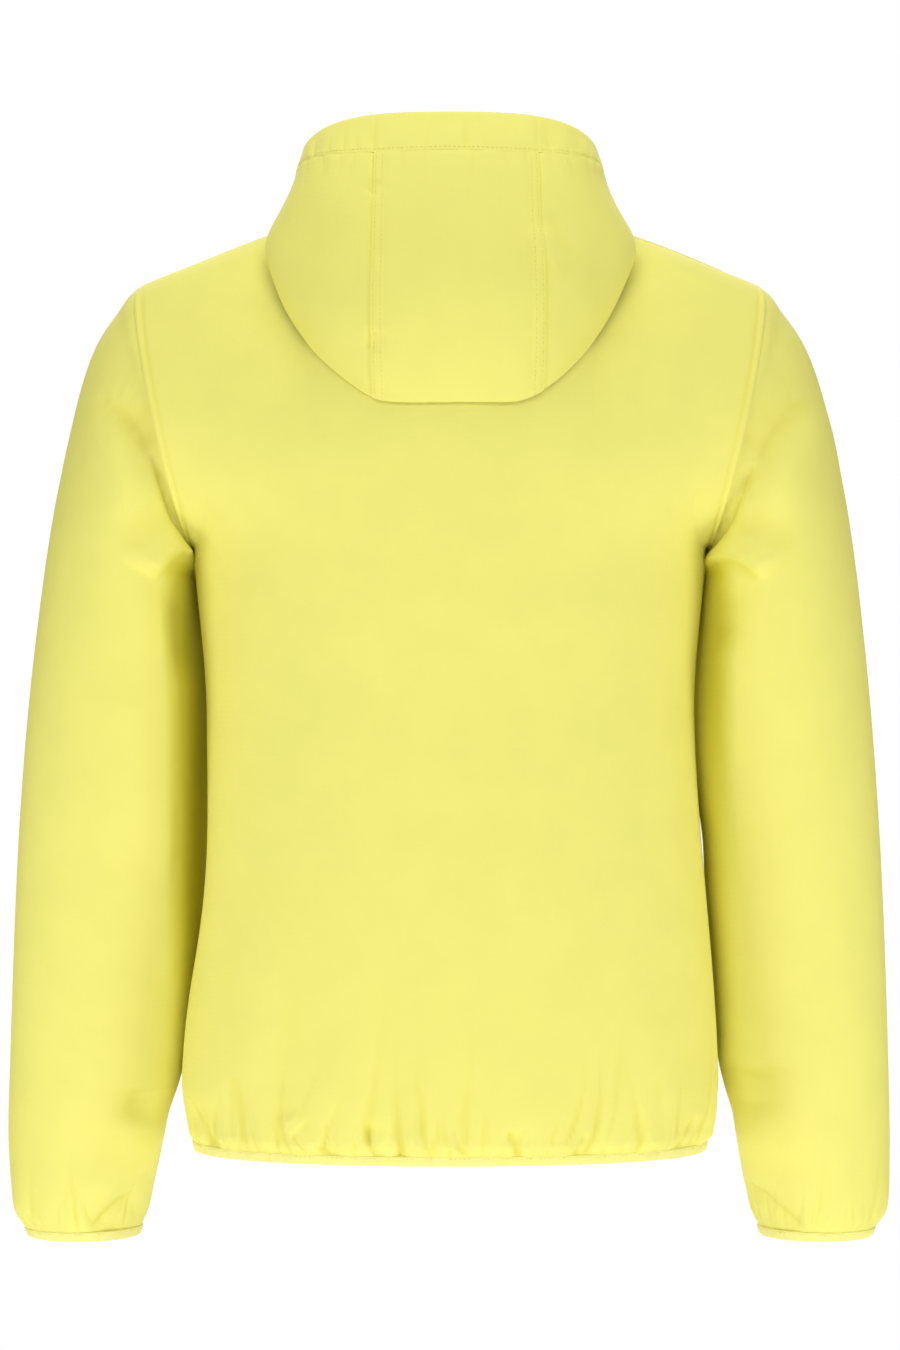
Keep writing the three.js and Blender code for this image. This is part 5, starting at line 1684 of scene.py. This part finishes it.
tape_span = (-TAPE_PAST, POCKET_LENGTH + TAPE_PAST)
tape_u = slot_stops(-TAPE_HALF, TAPE_HALF, -CHAIN_HALF, CHAIN_HALF, 4)
tape_v = slot_stops(*tape_span, -CHAIN_PAST, POCKET_LENGTH + CHAIN_PAST, 90)
pockets = {}
for name, side in (("left", 1), ("right", -1)):
    bag, bag_size, _ = make_cloth(
        f"pocket_bag_{name}_cloth", bag_surface(front_face if side > 0 else mirrored(front_face)),
        np.linspace(0, 1, 91), np.linspace(0, 1, 111), body_inside, "jacket", bag_relief,
        cloth=(lining, lining), thickness=1.0,
    )
    without(bag, along_zip(side, MOUTH_HALF, MOUTH_PAST))
    tape, _, _ = make_cloth(
        f"pocket_tape_{name}_cloth",
        flat_surface(pocket_frame, (-TAPE_HALF, TAPE_HALF), POCKET_TAPE, tape_span, side), tape_u, tape_v,
        zip_heart, "jacket", lambda u, v, p, n: 0.08 * np.sin(v * 70), thickness=0.5, cloth=(woven, woven),
    )
    without(tape, along_zip(side, CHAIN_HALF, CHAIN_PAST))
    for row, tag in ((1, "outer"), (-1, "inner")):
        repeated(
            f"pocket_teeth_{name}_{tag}_row", tooth(POCKET_SCALE, POCKET_TAPE + 0.25),
            teeth_places(pocket_frame, 0, POCKET_LENGTH, row, side), f"pocket_teeth_{name}",
            mirror=row * side < 0,
        )
    pockets[name] = (bag, bag_size, tape)
print("pocket zips", POCKET_LENGTH, "mm")

# %% [markdown]
# ### Stitches
# Topstitching holds the turned allowances down. Each stitch is a short length of thread that dives into the
# cloth at both ends.

# %% Stitch maker
STITCH_LENGTH = 2.7
STITCH_PITCH = 3.4
STITCH_WIDE, STITCH_THICK = 0.55, 0.5


def stitch_shape():
    """One stitch along x, its back towards z, 1 long and 1 thick before it is scaled."""
    bm = bmesh.new()
    bmesh.ops.create_cone(
        bm, cap_ends=True, cap_tris=False, segments=6, radius1=0.5, radius2=0.5, depth=1
    )
    bmesh.ops.rotate(bm, verts=bm.verts, cent=(0, 0, 0), matrix=Matrix.Rotation(math.pi / 2, 3, "Y"))
    ends = [e for e in bm.edges if abs(e.verts[0].co.x - e.verts[1].co.x) > 0.5]
    bmesh.ops.subdivide_edges(bm, edges=ends, cuts=2, use_grid_fill=True)
    for vert in bm.verts:
        bend = 1 - (2 * vert.co.x) ** 2
        vert.co.y *= 0.45 + 0.55 * bend
        vert.co.z = vert.co.z * (0.4 + 0.6 * bend) + 0.5 * bend - 0.35
    return template([bm])


STITCH = stitch_shape()


def sew(name, rows, ride_on):
    """Stitches along rows of (points, outward normals), both in millimetres."""
    shape, faces = STITCH
    made = []
    for points, out in rows:
        s = distances(points)
        at = np.arange(STITCH_PITCH / 2, s[-1], STITCH_PITCH)
        normal = unit(resampled(at, s, out))
        tangent = unit(resampled(at + 1, s, points) - resampled(at - 1, s, points))
        across = unit(np.cross(normal, tangent))
        made.append(
            resampled(at, s, points)[:, None]
            + shape[None, :, :1] * tangent[:, None] * STITCH_LENGTH
            + shape[None, :, 1:2] * across[:, None] * STITCH_WIDE
            + shape[None, :, 2:] * normal[:, None] * STITCH_THICK
        )
    mesh = copies(name, np.concatenate(made), faces)
    bm = bmesh.new()
    bm.from_mesh(mesh)
    bmesh.ops.recalc_face_normals(bm, faces=bm.faces)
    bm.to_mesh(mesh)
    bm.free()
    mesh.shade_smooth()
    return new_object(name, mesh, (thread,), ride_on, None)


def row_on(cloth, u, v):
    u, v = np.broadcast_arrays(np.asarray(u, float), np.asarray(v, float))
    return cloth.at(u, v)


centre_cloth = hood["hood_centre_panel"][2]
centre_width = (SEAM_LEFT + SEAM_RIGHT) * HOOD_RADIUS
run = np.linspace(BAND_SHARE + 0.004, 0.995, 160)
rows = []
for near in (1.8, 7.0):
    rows.append(row_on(centre_cloth, near / centre_width, run))
    rows.append(row_on(centre_cloth, 1 - near / centre_width, run))
hood_stitches = sew("hood_seam_topstitch", rows, "hood")
run = np.linspace(0.005, 0.995, 500)
band_stitches = sew(
    "hood_casing_topstitch", [row_on(hood["hood_rim_band"][2], run, BAND_SHARE - 2.2 / HOOD_TALL)], "hood"
)
hem_stitches = sew("hem_binding_stitch", [hem_seam], "jacket")
cuff_stitches = {
    name: sew(f"cuff_binding_stitch_{name}", [seam], f"{name}_sleeve")
    for name, (_, seam) in cuffs.items()
}
collar_stitches = sew("collar_topstitch", [row_on(collar_cloth, np.linspace(0.02, 0.98, 300), 0.9)], "jacket")
run = np.linspace(0.004, 0.99, 400)
FRONT_WIDE = 215
front_stitches = {
    name: sew(f"front_edge_topstitch_{name}", [row_on(grid, 6.0 / FRONT_WIDE, run)], "jacket")
    for name, (_, _, grid) in fronts.items()
}
print("topstitching sewn")

# %% [markdown]
# ## What each cloth is
# Each cloth is listed with the size that it was cut to, what holds it, and what is sewn to it, though declare
# only works out the area and keeps none of it.

def declare(piece, size, held, rests_on, with_pieces=()):
    width, length, area = size
    area = min(area, width * length)


declare(back, back_size, "hung", ["collar_cloth"], [hem, hem_stitches, label])
for name in ("left", "right"):
    others = [tapes[name][0], teeth[name], front_stitches[name], pockets[name][2]]
    declare(*fronts[name][:2], "hung", ["collar_cloth"], others)
    declare(*sleeves[name][:2], "hung", ["back_panel_cloth"], [cuffs[name][0], cuff_stitches[name]])
    declare(*pockets[name][:2], "hung", [f"front_panel_{name}_cloth"])
for name, held, rests_on, others in (
    ("hood_centre_panel", "draped", "hood_underlap_cloth", [hood_stitches]),
    ("hood_side_panel_left", "draped", "back_panel_cloth", []),
    ("hood_side_panel_right", "draped", "back_panel_cloth", []),
    ("hood_rim_band", "gathered", "hood_centre_panel_cloth", [band_stitches]),
    ("hood_rim_elastic", "gathered", "hood_rim_band_cloth", []),
    ("hood_underlap", "laid", "back_panel_cloth", []),
):
    declare(*hood[name][:2], held, [rests_on], others)
declare(collar, collar_size, "folded", ["back_panel_cloth"], [collar_stitches])
declare(facing, facing_size, "laid", ["collar_cloth"], [neck_tape, loop])
declare(storm, storm_size, "hung", ["zip_tape_right_cloth"])
declare(guard, guard_size, "folded", ["collar_cloth"])
